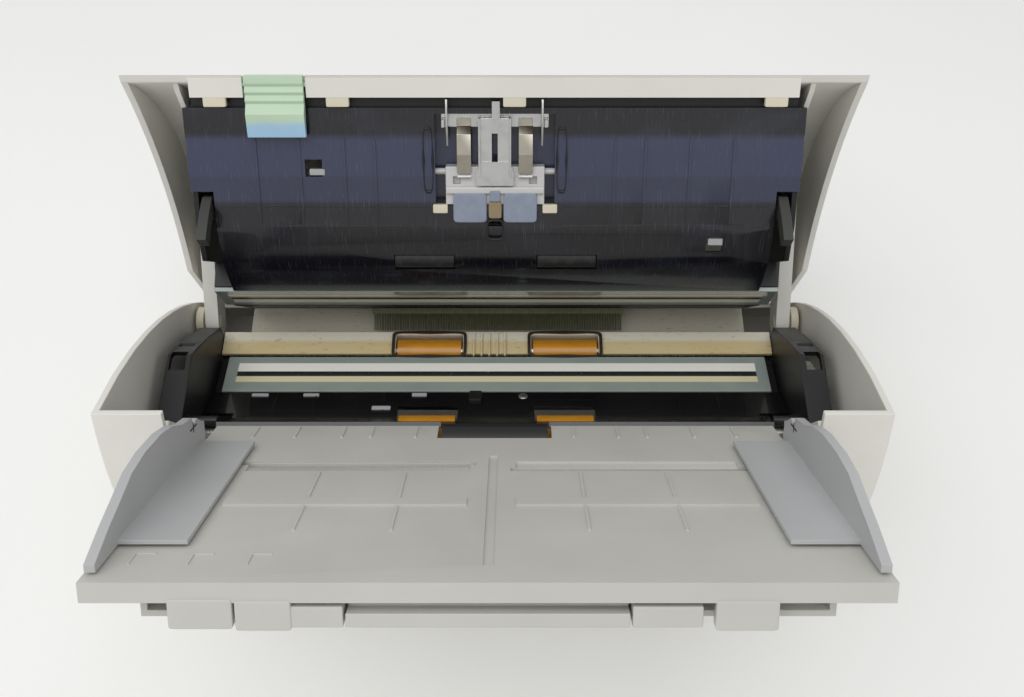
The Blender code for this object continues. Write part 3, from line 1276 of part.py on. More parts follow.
join(brush, named("bristles", tuft_mesh))
carry(COVER, brush)


# Latch bar's own axis and size, which its seats in the cheeks share
LATCH_AXIS = (-0.0560, 0.0470)
LATCH_BAR = 0.0025

# Cheeks: black plates between the dark plate and the shell, inboard of the ears

CHEEK_THICK = 0.0023
CHEEK_X = (COVER_PLATE_HALF - CHEEK_THICK, COVER_PLATE_HALF)
CHEEK_TOP_SHARE = 0.75
CHEEK_SHARES = (0.16, 0.50)
cheek_gap = PAPER_HALF_GAP + GUIDE_THICK + SEAT_GAP
cheek_line = shifted([FEED_NIP, PLATE_BEND, PLATE_TOP], cheek_gap)
cheek_foot = shifted(glass_line, glass_over + SENSOR_DEPTH + SEAT_GAP)
cheek_top = Vector(cheek_line[1]).lerp(Vector(cheek_line[2]), CHEEK_TOP_SHARE)
cheek_outline = [cheek_line[0], cheek_line[1], tuple(cheek_top)]
cheek_outline += skin(*CHEEK_SHARES, WALL + SEAT_GAP, 6) + [cheek_foot[0], cheek_foot[1]]


def cover_cheek(which, side):
    cheek = outline("cover_cheek_" + which, cheek_outline, *span(side, *CHEEK_X), "black_plastic")
    bore_xs = span(side, CHEEK_X[0] - OVERRUN, CHEEK_X[1] + OVERRUN)
    cut(cheek, x_rod(which + "_latch_bore", LATCH_BAR + SEAT_GAP, *bore_xs, LATCH_AXIS, sides=16))
    carry(COVER, cheek)


both_sides(cover_cheek)


# Latch: a bar across the cover with a hook at each end, turned by the release lever

HOOK_ROOM = 0.0011
HOOK_WIDE = 0.0040
HOOK_X = (COVER_NECK_HALF + HOOK_ROOM, COVER_NECK_HALF + HOOK_ROOM + HOOK_WIDE)
HOOK_NOSE_TURN = 3
HOOK_HUB = 0.0050
CATCH_CLEAR = 0.0004
catch_distance = math.hypot(*CATCH_AXIS) + CATCH_RADIUS + CATCH_CLEAR
HOOK_ARC = (149.5, 160.0)
HOOK_DEPTH = 0.0058
LATCH = frame_at("latch_axis", COVER, (0, *LATCH_AXIS))
bar_half = sum(CHEEK_X) / 2
latch_bar = x_rod("latch_bar", LATCH_BAR, -bar_half, bar_half, LATCH_AXIS, "dark_grey", 12)
hook_back = catch_distance + HOOK_DEPTH
hook_points = disc((0, 0), catch_distance, *HOOK_ARC, 4)
hook_points += disc((0, 0), hook_back, HOOK_ARC[1], HOOK_ARC[0] - HOOK_NOSE_TURN, 4)
latch_y, latch_z = LATCH_AXIS
hook_points += [(latch_y, latch_z + HOOK_HUB), (latch_y + HOOK_HUB, latch_z)]
hook_points.append((latch_y + HOOK_HUB / 2, latch_z - HOOK_HUB))
for side in (-1, 1):
    join(latch_bar, outline("latch_hook", hook_points, *span(side, *HOOK_X)))
carry(LATCH, latch_bar)


# Feed chute, drawn flat: x across, y minus the distance from its far edge, z above its surface

CHUTE_LENGTH = 0.135
CHUTE_SIDE_ROOM = 0.0035
CHUTE_HALF = POCKET_INNER - CHUTE_SIDE_ROOM
CHUTE_SHEET = 0.0030
CHUTE_RIM = 0.0062
CHUTE_RIM_WALL = 0.0025
CHUTE_CORNER_ALONG = 0.0155
CHUTE_CORNER = 0.0040
CHUTE_CORNER_HALF = CHUTE_HALF - CHUTE_CORNER
COVE_ALONG = 0.0145
CHUTE_COVE_HALF = 0.0220
CHANNEL = (0.0398, 0.0492)
CHANNEL_DEPTH = 0.0008
STEP_ALONG = (0.0748, 0.0807)
STEP_RISE = 0.0006
STEP_INSET = 0.0265
STEP_HALF = CHUTE_HALF - STEP_INSET
STEP_BREAK = 0.0080
GROOVE_HALF = 0.00165
GROOVE_ALONG = (0.034, 0.124)
GROOVE_DEPTH = 0.0007


def chute_block(name, xs, alongs, aboves, material=None):
    return block(name, xs, (-alongs[1], -alongs[0]), aboves, material)


chute_xs = (-CHUTE_HALF, CHUTE_HALF)
chute_top = chute_block("chute_top", chute_xs, (0, CHUTE_LENGTH), (-CHUTE_RIM, 0), "grey_chute")
under_half = CHUTE_HALF - CHUTE_RIM_WALL
under_along = (-OVERRUN, CHUTE_LENGTH - CHUTE_RIM_WALL)
under_room = (-CHUTE_RIM - OVERRUN, -CHUTE_SHEET)
cut(chute_top, chute_block("chute_under", (-under_half, under_half), under_along, under_room))
right_through = (-CHUTE_RIM - OVERRUN, OVERRUN)
for side in (-1, 1):
    corner_xs = span(side, CHUTE_CORNER_HALF, CHUTE_HALF + OVERRUN)
    cut(chute_top, chute_block("chute_corner", corner_xs, (-OVERRUN, CHUTE_CORNER_ALONG), right_through))
    step_xs = span(side, STEP_BREAK, STEP_HALF)
    join(chute_top, chute_block("chute_step", step_xs, STEP_ALONG, (-CHUTE_SHEET / 2, STEP_RISE)))
    channel_xs = span(side, STEP_BREAK, STEP_HALF)
    cut(chute_top, chute_block("guide_channel", channel_xs, CHANNEL, (-CHANNEL_DEPTH, OVERRUN)))
notch_xs = (-CHUTE_COVE_HALF, CHUTE_COVE_HALF)
cut(chute_top, chute_block("pick_notch", notch_xs, (-OVERRUN, COVE_ALONG), (-CHUTE_RIM, OVERRUN)))
groove_xs = (-GROOVE_HALF, GROOVE_HALF)
cut(chute_top, chute_block("centre_groove", groove_xs, GROOVE_ALONG, (-GROOVE_DEPTH, OVERRUN)))
SHORT_RIB_SHARES = (0.2643, 0.4141, 0.5110, 0.6696, 0.8106)
SHORT_RIB_ALONG = (0.002, 0.014)
LONG_RIB_SHARES = (0.2643, 0.5286)
LONG_RIB_ALONG = (0.0515, 0.0740)
LOW_RIB_ALONG = (0.0815, 0.1000)
CHUTE_RIB = 0.0009
CHUTE_RIB_RISE = 0.0005
rib_bands = ((SHORT_RIB_SHARES, SHORT_RIB_ALONG), (LONG_RIB_SHARES, LONG_RIB_ALONG))
rib_bands += ((LONG_RIB_SHARES, LOW_RIB_ALONG),)
rib_heights = (-CHUTE_SHEET / 2, CHUTE_RIB_RISE)
for side in (-1, 1):
    for rib_shares, rib_along in rib_bands:
        for rib_share in rib_shares:
            rib_x = CHUTE_HALF * rib_share
            rib_xs = span(side, rib_x, rib_x + CHUTE_RIB)
            join(chute_top, chute_block("chute_rib", rib_xs, rib_along, rib_heights))

# Slots under the channel for the stems of the paper guides
GUIDE_PLATE_WIDE = 0.0205
GUIDE_INNER = CHUTE_CORNER_HALF - GUIDE_PLATE_WIDE
GUIDE_PLATE_THICK = 0.0014
GUIDE_STOP = 0.003
GUIDE_TRAVEL = GUIDE_INNER - GUIDE_STOP
STEM = 0.0030
STEM_ALONG = {-1: 0.0417, 1: 0.0473}
STEM_INSET = 0.0040
STEM_X = GUIDE_INNER + STEM_INSET
GUIDE_LIFT = 0.0010
for side in (-1, 1):
    slot_xs = span(side, STEM_X - GUIDE_TRAVEL - RUN_GAP, STEM_X + STEM + RUN_GAP)
    slot_half = STEM / 2 + SEAT_GAP
    slot_along = (STEM_ALONG[side] - slot_half, STEM_ALONG[side] + slot_half)
    cut(chute_top, chute_block("stem_slot", slot_xs, slot_along, (-CHUTE_SHEET - OVERRUN, OVERRUN)))
carry(CHUTE, chute_top)

# Lower shell of the chute, with the pivot lugs at its far corners
SHELL_STEP = 0.0100
SHELL_HALF = CHUTE_CORNER_HALF - SHELL_STEP
SHELL_START = 0.0180
SHELL_FRONT_ROOM = 0.0085
SHELL_ALONG = (SHELL_START, CHUTE_LENGTH - SHELL_FRONT_ROOM)
SHELL_DEPTH = 0.0148
SHELL_SHEET = 0.0020
SHELL_TOP = -CHUTE_SHEET - SEAT_GAP
LUG_ALONG = (0.0060, 0.0230)
LUG_OVERLAP = 0.0035
LUG_INNER = SHELL_HALF - LUG_OVERLAP
LUG_HEIGHT = 0.0100
shell_xs = (-SHELL_HALF, SHELL_HALF)
chute_bottom = chute_block("chute_bottom", shell_xs, SHELL_ALONG, (-SHELL_DEPTH, SHELL_TOP), "grey_chute")
shell_space = chute_block(
    "shell_space",
    (-SHELL_HALF + SHELL_SHEET, SHELL_HALF - SHELL_SHEET),
    (SHELL_ALONG[0] + SHELL_SHEET, SHELL_ALONG[1] + OVERRUN),
    (-SHELL_DEPTH + SHELL_SHEET, SHELL_TOP + OVERRUN),
)
cut(chute_bottom, shell_space)
for side in (-1, 1):
    lug_xs = span(side, LUG_INNER, CHUTE_CORNER_HALF)
    lug = chute_block("pivot_lug", lug_xs, LUG_ALONG, (-LUG_HEIGHT, SHELL_TOP))
    join(chute_bottom, lug)
    pin_centre = (-CHUTE_PIVOT_ALONG, -CHUTE_PIVOT_BELOW)
    pin_xs = span(side, CHUTE_CORNER_HALF - WALL, POCKET_INNER + LUG_THICK)
    join(chute_bottom, x_rod("chute_pin", PIN_RADIUS, *pin_xs, pin_centre))
carry(CHUTE, chute_bottom)

# Paper guides with their racks, and the pinion that couples them
WALL_INNER = CHUTE_CORNER_HALF
WALL_THICK = 0.0032
PLATE_ALONG = (0.0244, 0.1124)
RACK_MODULE = 0.0009
RACK_TEETH = 10
RACK_PITCH_RADIUS = RACK_MODULE * RACK_TEETH / 2
RACK_ALONG = sum(STEM_ALONG.values()) / 2
RACK_TOP = SHELL_TOP - SEAT_GAP
RACK_THICK = 0.0026
RACK_BODY = 0.0030
RACK_TAIL_TEETH = 3
GUIDE_TALL = 0.0196
GUIDE_WALL_SHARES = (
    (0.1259, 0.3980),
    (0.1444, 0.4388),
    (0.1667, 0.5102),
    (0.1926, 0.6020),
    (0.2222, 0.5510),
    (0.2407, 0.7143),
    (0.3185, 0.7653),
    (0.4000, 0.9286),
    (0.4889, 1.0000),
    (0.6148, 0.9796),
    (0.7111, 0.8776),
    (0.8000, 0.6429),
    (0.8741, 0.4592),
    (0.9185, 0.3265),
    (0.9704, 0.1735),
)


def rack_points(side):
    """One rack as (x, y) points: its teeth face the pinion, and a tab at its far end carries the stem."""
    pitch = math.pi * RACK_MODULE
    tip = RACK_MODULE * TOOTH_ADDENDUM_SHARE
    root = RACK_MODULE * TOOTH_ROOT_SHARE
    line = -RACK_ALONG - side * RACK_PITCH_RADIUS
    count = int(STEM_X / pitch) + RACK_TAIL_TEETH
    points = []
    for tooth in range(count):
        middle = pitch * (tooth - RACK_TAIL_TEETH + 1 / 2)
        for share, height in (
            (-TOOTH_BASE_SHARE, -root),
            (-TOOTH_TIP_SHARE, tip),
            (TOOTH_TIP_SHARE, tip),
            (TOOTH_BASE_SHARE, -root),
        ):
            points.append((side * (middle + share * pitch), line + side * height))
    back = line - side * (root + RACK_BODY)
    first, last = side * (STEM_X - SEAT_GAP), side * (STEM_X + STEM + SEAT_GAP)
    tab = -STEM_ALONG[side] + side * (STEM / 2 + SEAT_GAP)
    points.append((first, line - side * root))
    points.append((first, tab))
    points.append((last, tab))
    points.append((last, back))
    points.append((points[0][0], back))
    return points


def paper_guide(which, side):
    wall = [(-CHUTE_LENGTH * along, GUIDE_TALL * above) for along, above in GUIDE_WALL_SHARES]
    wall = [(wall[0][0], GUIDE_LIFT)] + wall + [(wall[-1][0], GUIDE_LIFT)]
    guide = outline("guide_" + which, wall, *span(side, WALL_INNER, WALL_INNER + WALL_THICK), "grey_guide")
    plate_xs = span(side, GUIDE_INNER, WALL_INNER + WALL_THICK / 2)
    plate_heights = (GUIDE_LIFT, GUIDE_LIFT + GUIDE_PLATE_THICK)
    join(guide, chute_block(which + "_guide_plate", plate_xs, PLATE_ALONG, plate_heights))
    along = STEM_ALONG[side]
    stem_xs = span(side, STEM_X, STEM_X + STEM)
    stem_heights = (RACK_TOP - RACK_THICK / 2, GUIDE_LIFT + GUIDE_PLATE_THICK / 2)
    stem = chute_block(which + "_stem", stem_xs, (along - STEM / 2, along + STEM / 2), stem_heights)
    rack = flat(which + "_rack", rack_points(side))
    join(rack, stem)
    rack.modifiers[0].use_self = True
    join(guide, rack)
    carry(CHUTE, guide)
    return guide


def flat(name, points, material=None):
    """A piece of the rack's thickness whose outline lies in the chute's own plane."""
    piece = outline(name, points, -RACK_THICK / 2, RACK_THICK / 2, material, along=Matrix.Identity(4))
    piece.data.transform(Matrix.Translation((0, 0, RACK_TOP - RACK_THICK / 2)))
    return piece


both_sides(paper_guide)

GUIDE_PINION_AXIS = (0, -RACK_ALONG, 0)
pinion_points = []
for tooth in range(RACK_TEETH):
    step = 2 * math.pi / RACK_TEETH
    for share, radius in (
        (-TOOTH_BASE_SHARE, RACK_PITCH_RADIUS - RACK_MODULE * TOOTH_ROOT_SHARE),
        (-TOOTH_TIP_SHARE, RACK_PITCH_RADIUS + RACK_MODULE * TOOTH_ADDENDUM_SHARE),
        (TOOTH_TIP_SHARE, RACK_PITCH_RADIUS + RACK_MODULE * TOOTH_ADDENDUM_SHARE),
        (TOOTH_BASE_SHARE, RACK_PITCH_RADIUS - RACK_MODULE * TOOTH_ROOT_SHARE),
    ):
        angle = math.pi / 2 + (tooth + share) * step
        pinion_points.append((radius * math.cos(angle), -RACK_ALONG + radius * math.sin(angle)))
GUIDE_PINION = frame_at("guide_pinion_axis", CHUTE, GUIDE_PINION_AXIS)
guide_pinion = flat("guide_pinion", pinion_points, "white_gear")
carry(GUIDE_PINION, guide_pinion)

# Extension stages under the racks
OUTER_ROOM = 0.0205
OUTER_HALF = SHELL_HALF - OUTER_ROOM
OUTER_SHEET = 0.0018
OUTER_START = 0.0300
OUTER_FRONT_ROOM = 0.0060
OUTER_ALONG = (OUTER_START, CHUTE_LENGTH - OUTER_FRONT_ROOM)
INNER_HALF = 0.0397
OUTER_BLOCK_WIDE = 0.0197
OUTER_BLOCK_X = (INNER_HALF + SEAT_GAP * 2, INNER_HALF + SEAT_GAP * 2 + OUTER_BLOCK_WIDE)
INNER_START = 0.0400
INNER_FRONT_ROOM = 0.0050
INNER_ALONG = (INNER_START, CHUTE_LENGTH - INNER_FRONT_ROOM)
BLOCK_LOW = -0.0138
sheet_top = RACK_TOP - RACK_THICK - SEAT_GAP
outer_low = sheet_top - OUTER_SHEET
outer_xs = (-OUTER_HALF, OUTER_HALF)
extension_outer = chute_block("extension_outer", outer_xs, OUTER_ALONG, (outer_low, sheet_top), "grey_chute")
end_along = (SHELL_ALONG[1] + SEAT_GAP, CHUTE_LENGTH)
for side in (-1, 1):
    block_heights = (BLOCK_LOW, outer_low + OUTER_SHEET / 2)
    join(extension_outer, chute_block("outer_block", span(side, *OUTER_BLOCK_X), end_along, block_heights))
carry(CHUTE, extension_outer)
inner_top = outer_low - SEAT_GAP
inner_xs = (-INNER_HALF, INNER_HALF)
inner_heights = (inner_top - OUTER_SHEET, inner_top)
extension_inner = chute_block("extension_inner", inner_xs, INNER_ALONG, inner_heights, "grey_chute")
block_heights = (BLOCK_LOW, inner_top - OUTER_SHEET / 2)
join(extension_inner, chute_block("inner_block", inner_xs, end_along, block_heights))
carry(CHUTE, extension_inner)


# The part stands with its origin under the middle of its box

bpy.context.view_layer.update()
graph = bpy.context.evaluated_depsgraph_get()
reach = []
for piece in PARTS.objects:
    if piece.type == "MESH":
        solid = piece.evaluated_get(graph)
        reach += [(solid.matrix_world @ vertex.co).y for vertex in solid.data.vertices]
BODY.location.y = -(min(reach) + max(reach)) / 2
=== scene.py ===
"""A compact A4 sheet-fed document scanner, open for cleaning, with its chute folded out."""

import json
import math

import bmesh
import bpy
import numpy as np
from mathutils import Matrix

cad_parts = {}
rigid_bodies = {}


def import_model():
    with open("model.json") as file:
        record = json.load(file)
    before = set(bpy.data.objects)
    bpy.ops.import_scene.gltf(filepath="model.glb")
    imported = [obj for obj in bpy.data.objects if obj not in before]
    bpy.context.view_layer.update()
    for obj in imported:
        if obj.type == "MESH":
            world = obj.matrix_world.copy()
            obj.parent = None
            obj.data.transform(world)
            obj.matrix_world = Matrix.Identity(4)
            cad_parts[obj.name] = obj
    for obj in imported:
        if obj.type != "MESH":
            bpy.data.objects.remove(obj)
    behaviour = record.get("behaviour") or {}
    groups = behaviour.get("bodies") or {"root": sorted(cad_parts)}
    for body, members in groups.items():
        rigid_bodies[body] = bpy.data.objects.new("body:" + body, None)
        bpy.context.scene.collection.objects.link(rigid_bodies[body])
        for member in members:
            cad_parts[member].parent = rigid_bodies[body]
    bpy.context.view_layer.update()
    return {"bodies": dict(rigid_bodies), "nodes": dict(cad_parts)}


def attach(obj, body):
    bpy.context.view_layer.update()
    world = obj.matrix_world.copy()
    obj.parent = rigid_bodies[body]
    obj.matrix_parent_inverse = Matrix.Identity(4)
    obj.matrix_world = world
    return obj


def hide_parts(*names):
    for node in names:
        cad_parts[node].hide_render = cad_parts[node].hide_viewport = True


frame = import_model()
scene = bpy.context.scene
scene.view_settings.view_transform = "Standard"


# The view: a camera held above the feed side and tipped forward from straight down,
# at the photograph's own angle and distance.
CAMERA_PLACE = (0.0067, -0.20528, 0.4868)
CAMERA_TIP = math.radians(30)

camera_data = bpy.data.cameras.new("view_from_feed_side")
camera_data.sensor_width = 36
camera_data.lens = 38.67
camera = bpy.data.objects.new("view_from_feed_side", camera_data)
camera.location = CAMERA_PLACE
camera.rotation_euler = (CAMERA_TIP, 0, 0)
scene.collection.objects.link(camera)
scene.camera = camera


# The table: a plain white work surface, matt, with a very slight unevenness of tone.
# It stands under the rubber feet and keeps the scanner's soft shadow.
class Value:
    """A socket on which Python's sums add Math nodes."""

    def __init__(self, paint, socket):
        self.paint = paint
        self.socket = socket

    def sum(self, operation, first, second=0.0):
        return self.paint.node("ShaderNodeMath", {"operation": operation}, {0: first, 1: second})

    def __add__(self, other):
        return self.sum("ADD", self, other)

    def __sub__(self, other):
        return self.sum("SUBTRACT", self, other)

    def __rsub__(self, other):
        return self.sum("SUBTRACT", other, self)

    def __mul__(self, other):
        return self.sum("MULTIPLY", self, other)

    __radd__ = __add__
    __rmul__ = __mul__

    def size(self):
        return self.sum("ABSOLUTE", self)

    def rise(self, low, high):
        """0 below low, 1 above high and smooth between them."""
        values = {0: self, 1: low, 2: high, 3: 0.0, 4: 1.0}
        settings = {"interpolation_type": "SMOOTHSTEP"}
        return self.paint.node("ShaderNodeMapRange", settings, values)

    def band(self, low, high, soft):
        """1 between low and high, fading over soft on either side."""
        return self.rise(low - soft, low + soft) - self.rise(high - soft, high + soft)


class Paint:
    """A finish in the making, read from Object coordinates. slot is kept on it but not used."""

    def __init__(self, name, slot=None, **plain):
        self.slot = slot
        self.material = bpy.data.materials.new(name)
        self.material.use_nodes = True
        self.tree = self.material.node_tree
        self.shader = self.tree.nodes["Principled BSDF"]
        for socket, value in plain.items():
            self.shader.inputs[socket.replace("_", " ")].default_value = value
        self.place = self.node("ShaderNodeTexCoord", output="Object")

    def node(self, kind, settings=None, values=None, output=0):
        node = self.tree.nodes.new(kind)
        for key, value in (settings or {}).items():
            setattr(node, key, value)
        for socket, value in (values or {}).items():
            self.feed(node.inputs[socket], value)
        return Value(self, node.outputs[output])

    def feed(self, socket, value):
        if isinstance(value, Value):
            self.tree.links.new(value.socket, socket)
        else:
            socket.default_value = value

    def along(self, axis):
        """How far a point lies along a direction: the dot product of the two."""
        values = {0: self.place, 1: axis}
        return self.node("ShaderNodeVectorMath", {"operation": "DOT_PRODUCT"}, values, "Value")

    def noise(self, size, detail=2.0, stretch=(1, 1, 1)):
        """Clouds about as large as size, drawn out along the axes by stretch."""
        scale = tuple(1 / (size * share) for share in stretch)
        place = self.node("ShaderNodeMapping", None, {"Vector": self.place, "Scale": scale})
        values = {"Vector": place, "Scale": 1.0, "Detail": detail}
        return self.node("ShaderNodeTexNoise", None, values)

    def mix(self, share, first, second):
        """The first colour where share is 0, the second where it is 1."""
        colours = [c if isinstance(c, Value) else (*c, 1) for c in (first, second)]
        values = {0: share, 6: colours[0], 7: colours[1]}
        return self.node("ShaderNodeMix", {"data_type": "RGBA"}, values, 2)

    def wear(self, colour, roughness, height=None, depth=0.0001):
        """Puts what varies over the surface on the shader, with height as a bump depth deep."""
        self.feed(self.shader.inputs["Base Color"], colour)
        self.feed(self.shader.inputs["Roughness"], roughness)
        if height:
            values = {"Strength": 1.0, "Distance": depth, "Height": height}
            bump = self.node("ShaderNodeBump", None, values)
            self.feed(self.shader.inputs["Normal"], bump)
        return self


def tone(*levels):
    """A colour as a screen shows it, from 0 to 255, in the shader's own linear light."""
    shares = np.array(levels) / 255
    light = np.where(shares < 0.04, shares / 12.9, ((shares + 0.055) / 1.055) ** 2.4)
    return tuple(light.tolist())


TABLE_REACH = 3.0
TABLE_LINES = 9
TABLE_CLOUD = 0.25

table_paint = Paint("white work surface", Specular_IOR_Level=0.2)
clouds = table_paint.noise(TABLE_CLOUD, 3)
table_tone = table_paint.mix(clouds, tone(243, 243, 241), tone(252, 252, 251))
table_paint.wear(table_tone, clouds * 0.1 + 0.6)
lines = np.linspace(-TABLE_REACH, TABLE_REACH, TABLE_LINES)
table_x, table_y = np.meshgrid(lines, lines, indexing="ij")
table_points = np.stack([table_x, table_y, np.zeros_like(table_x)], -1).reshape(-1, 3)
cells = np.arange(TABLE_LINES - 1)
corner = (cells[:, None] * TABLE_LINES + cells).ravel()
table_faces = [corner, corner + TABLE_LINES, corner + TABLE_LINES + 1, corner + 1]
table_mesh = bpy.data.meshes.new("table")
table_mesh.from_pydata(table_points, [], np.stack(table_faces, -1).tolist())
table_mesh.materials.append(table_paint.material)
table = bpy.data.objects.new("table", table_mesh)
scene.collection.objects.link(table)


# The light: a bright white room on all sides, and one wide soft lamp over the feed side.
# What the camera sees of the room is plain white, and the room lights the scanner less.
ROOM_LIGHT = 0.62
ROOM_SEEN = 1.0
LAMP_SIZE = (1.6, 1.2)
LAMP_POWER = 11
LAMP_PLACE = (-0.25, -0.35, 1.5)
LAMP_TURN = (math.radians(-12), math.radians(-9), 0)

world = bpy.data.worlds.new("white room")
scene.world = world
world.use_nodes = True
sky = world.node_tree.nodes["Background"]
sky.inputs["Color"].default_value = (1, 1, 1, 1)
rays = world.node_tree.nodes.new("ShaderNodeLightPath")
seen = world.node_tree.nodes.new("ShaderNodeMix")
seen.inputs["A"].default_value = ROOM_LIGHT
seen.inputs["B"].default_value = ROOM_SEEN
world.node_tree.links.new(rays.outputs["Is Camera Ray"], seen.inputs["Factor"])
world.node_tree.links.new(seen.outputs["Result"], sky.inputs["Strength"])
lamp_data = bpy.data.lights.new("wide soft lamp", "AREA")
lamp_data.shape = "RECTANGLE"
lamp_data.size, lamp_data.size_y = LAMP_SIZE
lamp_data.energy = LAMP_POWER
lamp = bpy.data.objects.new("wide soft lamp", lamp_data)
lamp.location = LAMP_PLACE
lamp.rotation_euler = LAMP_TURN
scene.collection.objects.link(lamp)


# Shell mouldings: side covers, cover shell, base pan and output tray, moulded in off-white
# plastic with a fine spark-eroded grain. Handling has left them faintly mottled.
def moulded(name, slot, colour, roughness, mottle=0.05, grain=0.00045, depth=0.000012, **plain):
    """A moulded finish: slow mottling and fine specks in the colour, smudges in the gloss
    and grain as bump."""
    paint = Paint(name, slot, **plain)
    slow = paint.noise(0.03, 4)
    fine = paint.noise(grain, 1)
    specks = paint.noise(0.0016, 2).rise(0.70, 0.80)
    dark = tuple(c * (1 - 2 * mottle) for c in colour)
    light = tuple(min(1, c * (1 + mottle)) for c in colour)
    dust = tuple(c * 0.8 + 0.02 for c in colour)
    dusty = paint.mix(specks * 0.35, paint.mix(slow, dark, light), dust)
    return paint.wear(dusty, slow * 0.14 + fine * 0.06 + (roughness - 0.10), fine, depth)


MERGE = 0.000002
FLAT = math.radians(1)
CORNER = math.radians(30)


def body_with(node):
    """The name of the moving body that carries a CAD node."""
    carrier = frame["nodes"][node].parent
    return next(name for name, empty in frame["bodies"].items() if empty is carrier)


def eased(node, paint, edge):
    """A copy of a CAD node with doubles merged, flat faces joined and edges rounded by edge,
    in the node's place."""
    mesh = frame["nodes"][node].data.copy()
    form = bmesh.new()
    form.from_mesh(mesh)
    bmesh.ops.remove_doubles(form, verts=form.verts, dist=MERGE)
    bmesh.ops.dissolve_limit(form, angle_limit=FLAT, verts=form.verts, edges=form.edges)
    form.to_mesh(mesh)
    form.free()
    mesh.materials.clear()
    mesh.materials.append(paint.material)
    mesh.shade_smooth()
    mesh.set_sharp_from_angle(angle=CORNER)
    piece = bpy.data.objects.new(node + "_finished", mesh)
    scene.collection.objects.link(piece)
    change = piece.modifiers.new("rounded edges", "BEVEL")
    change.width = edge
    change.segments = 2
    change.limit_method = "ANGLE"
    change.angle_limit = CORNER
    change.harden_normals = True
    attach(piece, body_with(node))
    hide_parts(node)
    return piece


SHELL_EDGE = 0.0005

shell_paint = moulded("off-white shell plastic", "white_shell", tone(229, 227, 219), 0.46)
for node in ("side_cover_left", "side_cover_right", "cover_shell", "base_pan", "output_tray"):
    eased(node, shell_paint, SHELL_EDGE)


# The cover's dark plate: a polished black-blue moulding that guides the sheet past the pads.
# Years of paper have left fine scratches up its slope, and fingers have left smears.
# A lighter blue band across its slope, brighter above a step, is a painted reflection.
PLATE_BEND = np.array((0, 0.05659, 0.12923))
PLATE_UP = np.array((0, 0.63406, 0.77329))
PLATE_OUT = np.array((0, -0.77329, 0.63406))
PLATE_START = 0.13581
# Foot, head and upper step of the painted reflection band, measured up the plate from its bend.
REFLECTION_FOOT = (0.0095, 0.012)
REFLECTION_HEAD = (0.0345, 0.0385)
REFLECTION_STEP = (0.020, 0.0225)


def along_plate(paint):
    """How far a point lies up the open cover's plate from its bend, in metres."""
    return paint.along(tuple(PLATE_UP.tolist())) - PLATE_START


plate_paint = Paint("polished dark plate", "dark_plate", Coat_Weight=0.5, Coat_Roughness=0.08)
up_plate = along_plate(plate_paint)
scratches = plate_paint.noise(0.0007, 3, (0.35, 12, 12)).rise(0.60, 0.72)
smears = plate_paint.noise(0.018, 4, (2, 1, 1))
# Painted reflection: a lighter blue band up the plate, brighter still above its step.
painted_reflection = up_plate.rise(*REFLECTION_FOOT) - up_plate.rise(*REFLECTION_HEAD)
upper_reflection_step = up_plate.rise(*REFLECTION_STEP) * 0.35
plate_tone = plate_paint.mix(painted_reflection * (0.75 + upper_reflection_step), tone(17, 17, 24), tone(52, 57, 84))
plate_tone = plate_paint.mix(smears.rise(0.5, 0.75) * 0.25, plate_tone, tone(62, 66, 84))
plate_tone = plate_paint.mix(scratches * 0.22, plate_tone, tone(120, 124, 136))
plate_gloss = smears * 0.22 + scratches * 0.2 + 0.10
plate_paint.wear(plate_tone, plate_gloss, scratches, depth=0.000008)
eased("cover_guide_plate", plate_paint, 0.00025)


# Ridges of the dark plate: two low lines on either side of the pads, where its slope changes.
# They are moulded with the plate and keep the sheet off it.
ACROSS = np.array((1.0, 0.0, 0.0))
SIDES = ((-1, "left"), (1, "right"))
SHARP = math.radians(40)


def on_plate(up, out, across=0.0):
    """A place on the open cover's plate: up its slope from the bend, out of its face, across."""
    return PLATE_BEND + up * PLATE_UP + out * PLATE_OUT + across * ACROSS


def ringed(name, rings, paint, body, closed=False):
    """A closed surface through rings of points: four-sided faces join each ring to the next.
    The ends close on their middles, or the last ring meets the first if closed."""
    count, around = rings.shape[:2]
    points = rings.reshape(-1, 3)
    starts = np.arange(count if closed else count - 1)
    row, column = np.meshgrid(starts, np.arange(around), indexing="ij")
    beside = (column + 1) % around
    here = row * around
    after = (row + 1) % count * around
    quads = np.stack([here + column, here + beside, after + beside, after + column], -1)
    quads = quads.reshape(-1, 4)
    a, b, c, d = (points[quads[:, k]] for k in range(4))
    volume = np.einsum("ij,ij->", a, np.cross(b, c) + np.cross(c, d))
    faces = quads.tolist()
    if not closed:
        turn = np.arange(around)
        turned_on = (turn + 1) % around
        last = (count - 1) * around
        points = np.concatenate([points, rings[[0, -1]].mean(axis=1)])
        first_middle = np.full(around, len(points) - 2)
        last_middle = np.full(around, len(points) - 1)
        first_fan = np.stack([turn, first_middle, turned_on], -1)
        last_fan = np.stack([last + turn, last + turned_on, last_middle], -1)
        fans = np.concatenate([first_fan, last_fan])
        a, b, c = (points[fans[:, k]] for k in range(3))
        volume += np.einsum("ij,ij->", a, np.cross(b, c))
        faces += fans.tolist()
    if volume < 0:
        faces = [face[::-1] for face in faces]
    mesh = bpy.data.meshes.new(name)
    mesh.from_pydata(points, [], faces)
    mesh.materials.append(paint.material)
    mesh.shade_smooth()
    mesh.set_sharp_from_angle(angle=SHARP)
    piece = bpy.data.objects.new(name, mesh)
    scene.collection.objects.link(piece)
    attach(piece, body)
    return piece


def soft(wave, power):
    """A sine or cosine with its sign kept and its size raised to a power: squarer below 1."""
    return np.sign(wave) * np.abs(wave) ** power


def full_turn(steps):
    return np.linspace(0, 2 * math.pi, steps, endpoint=False)


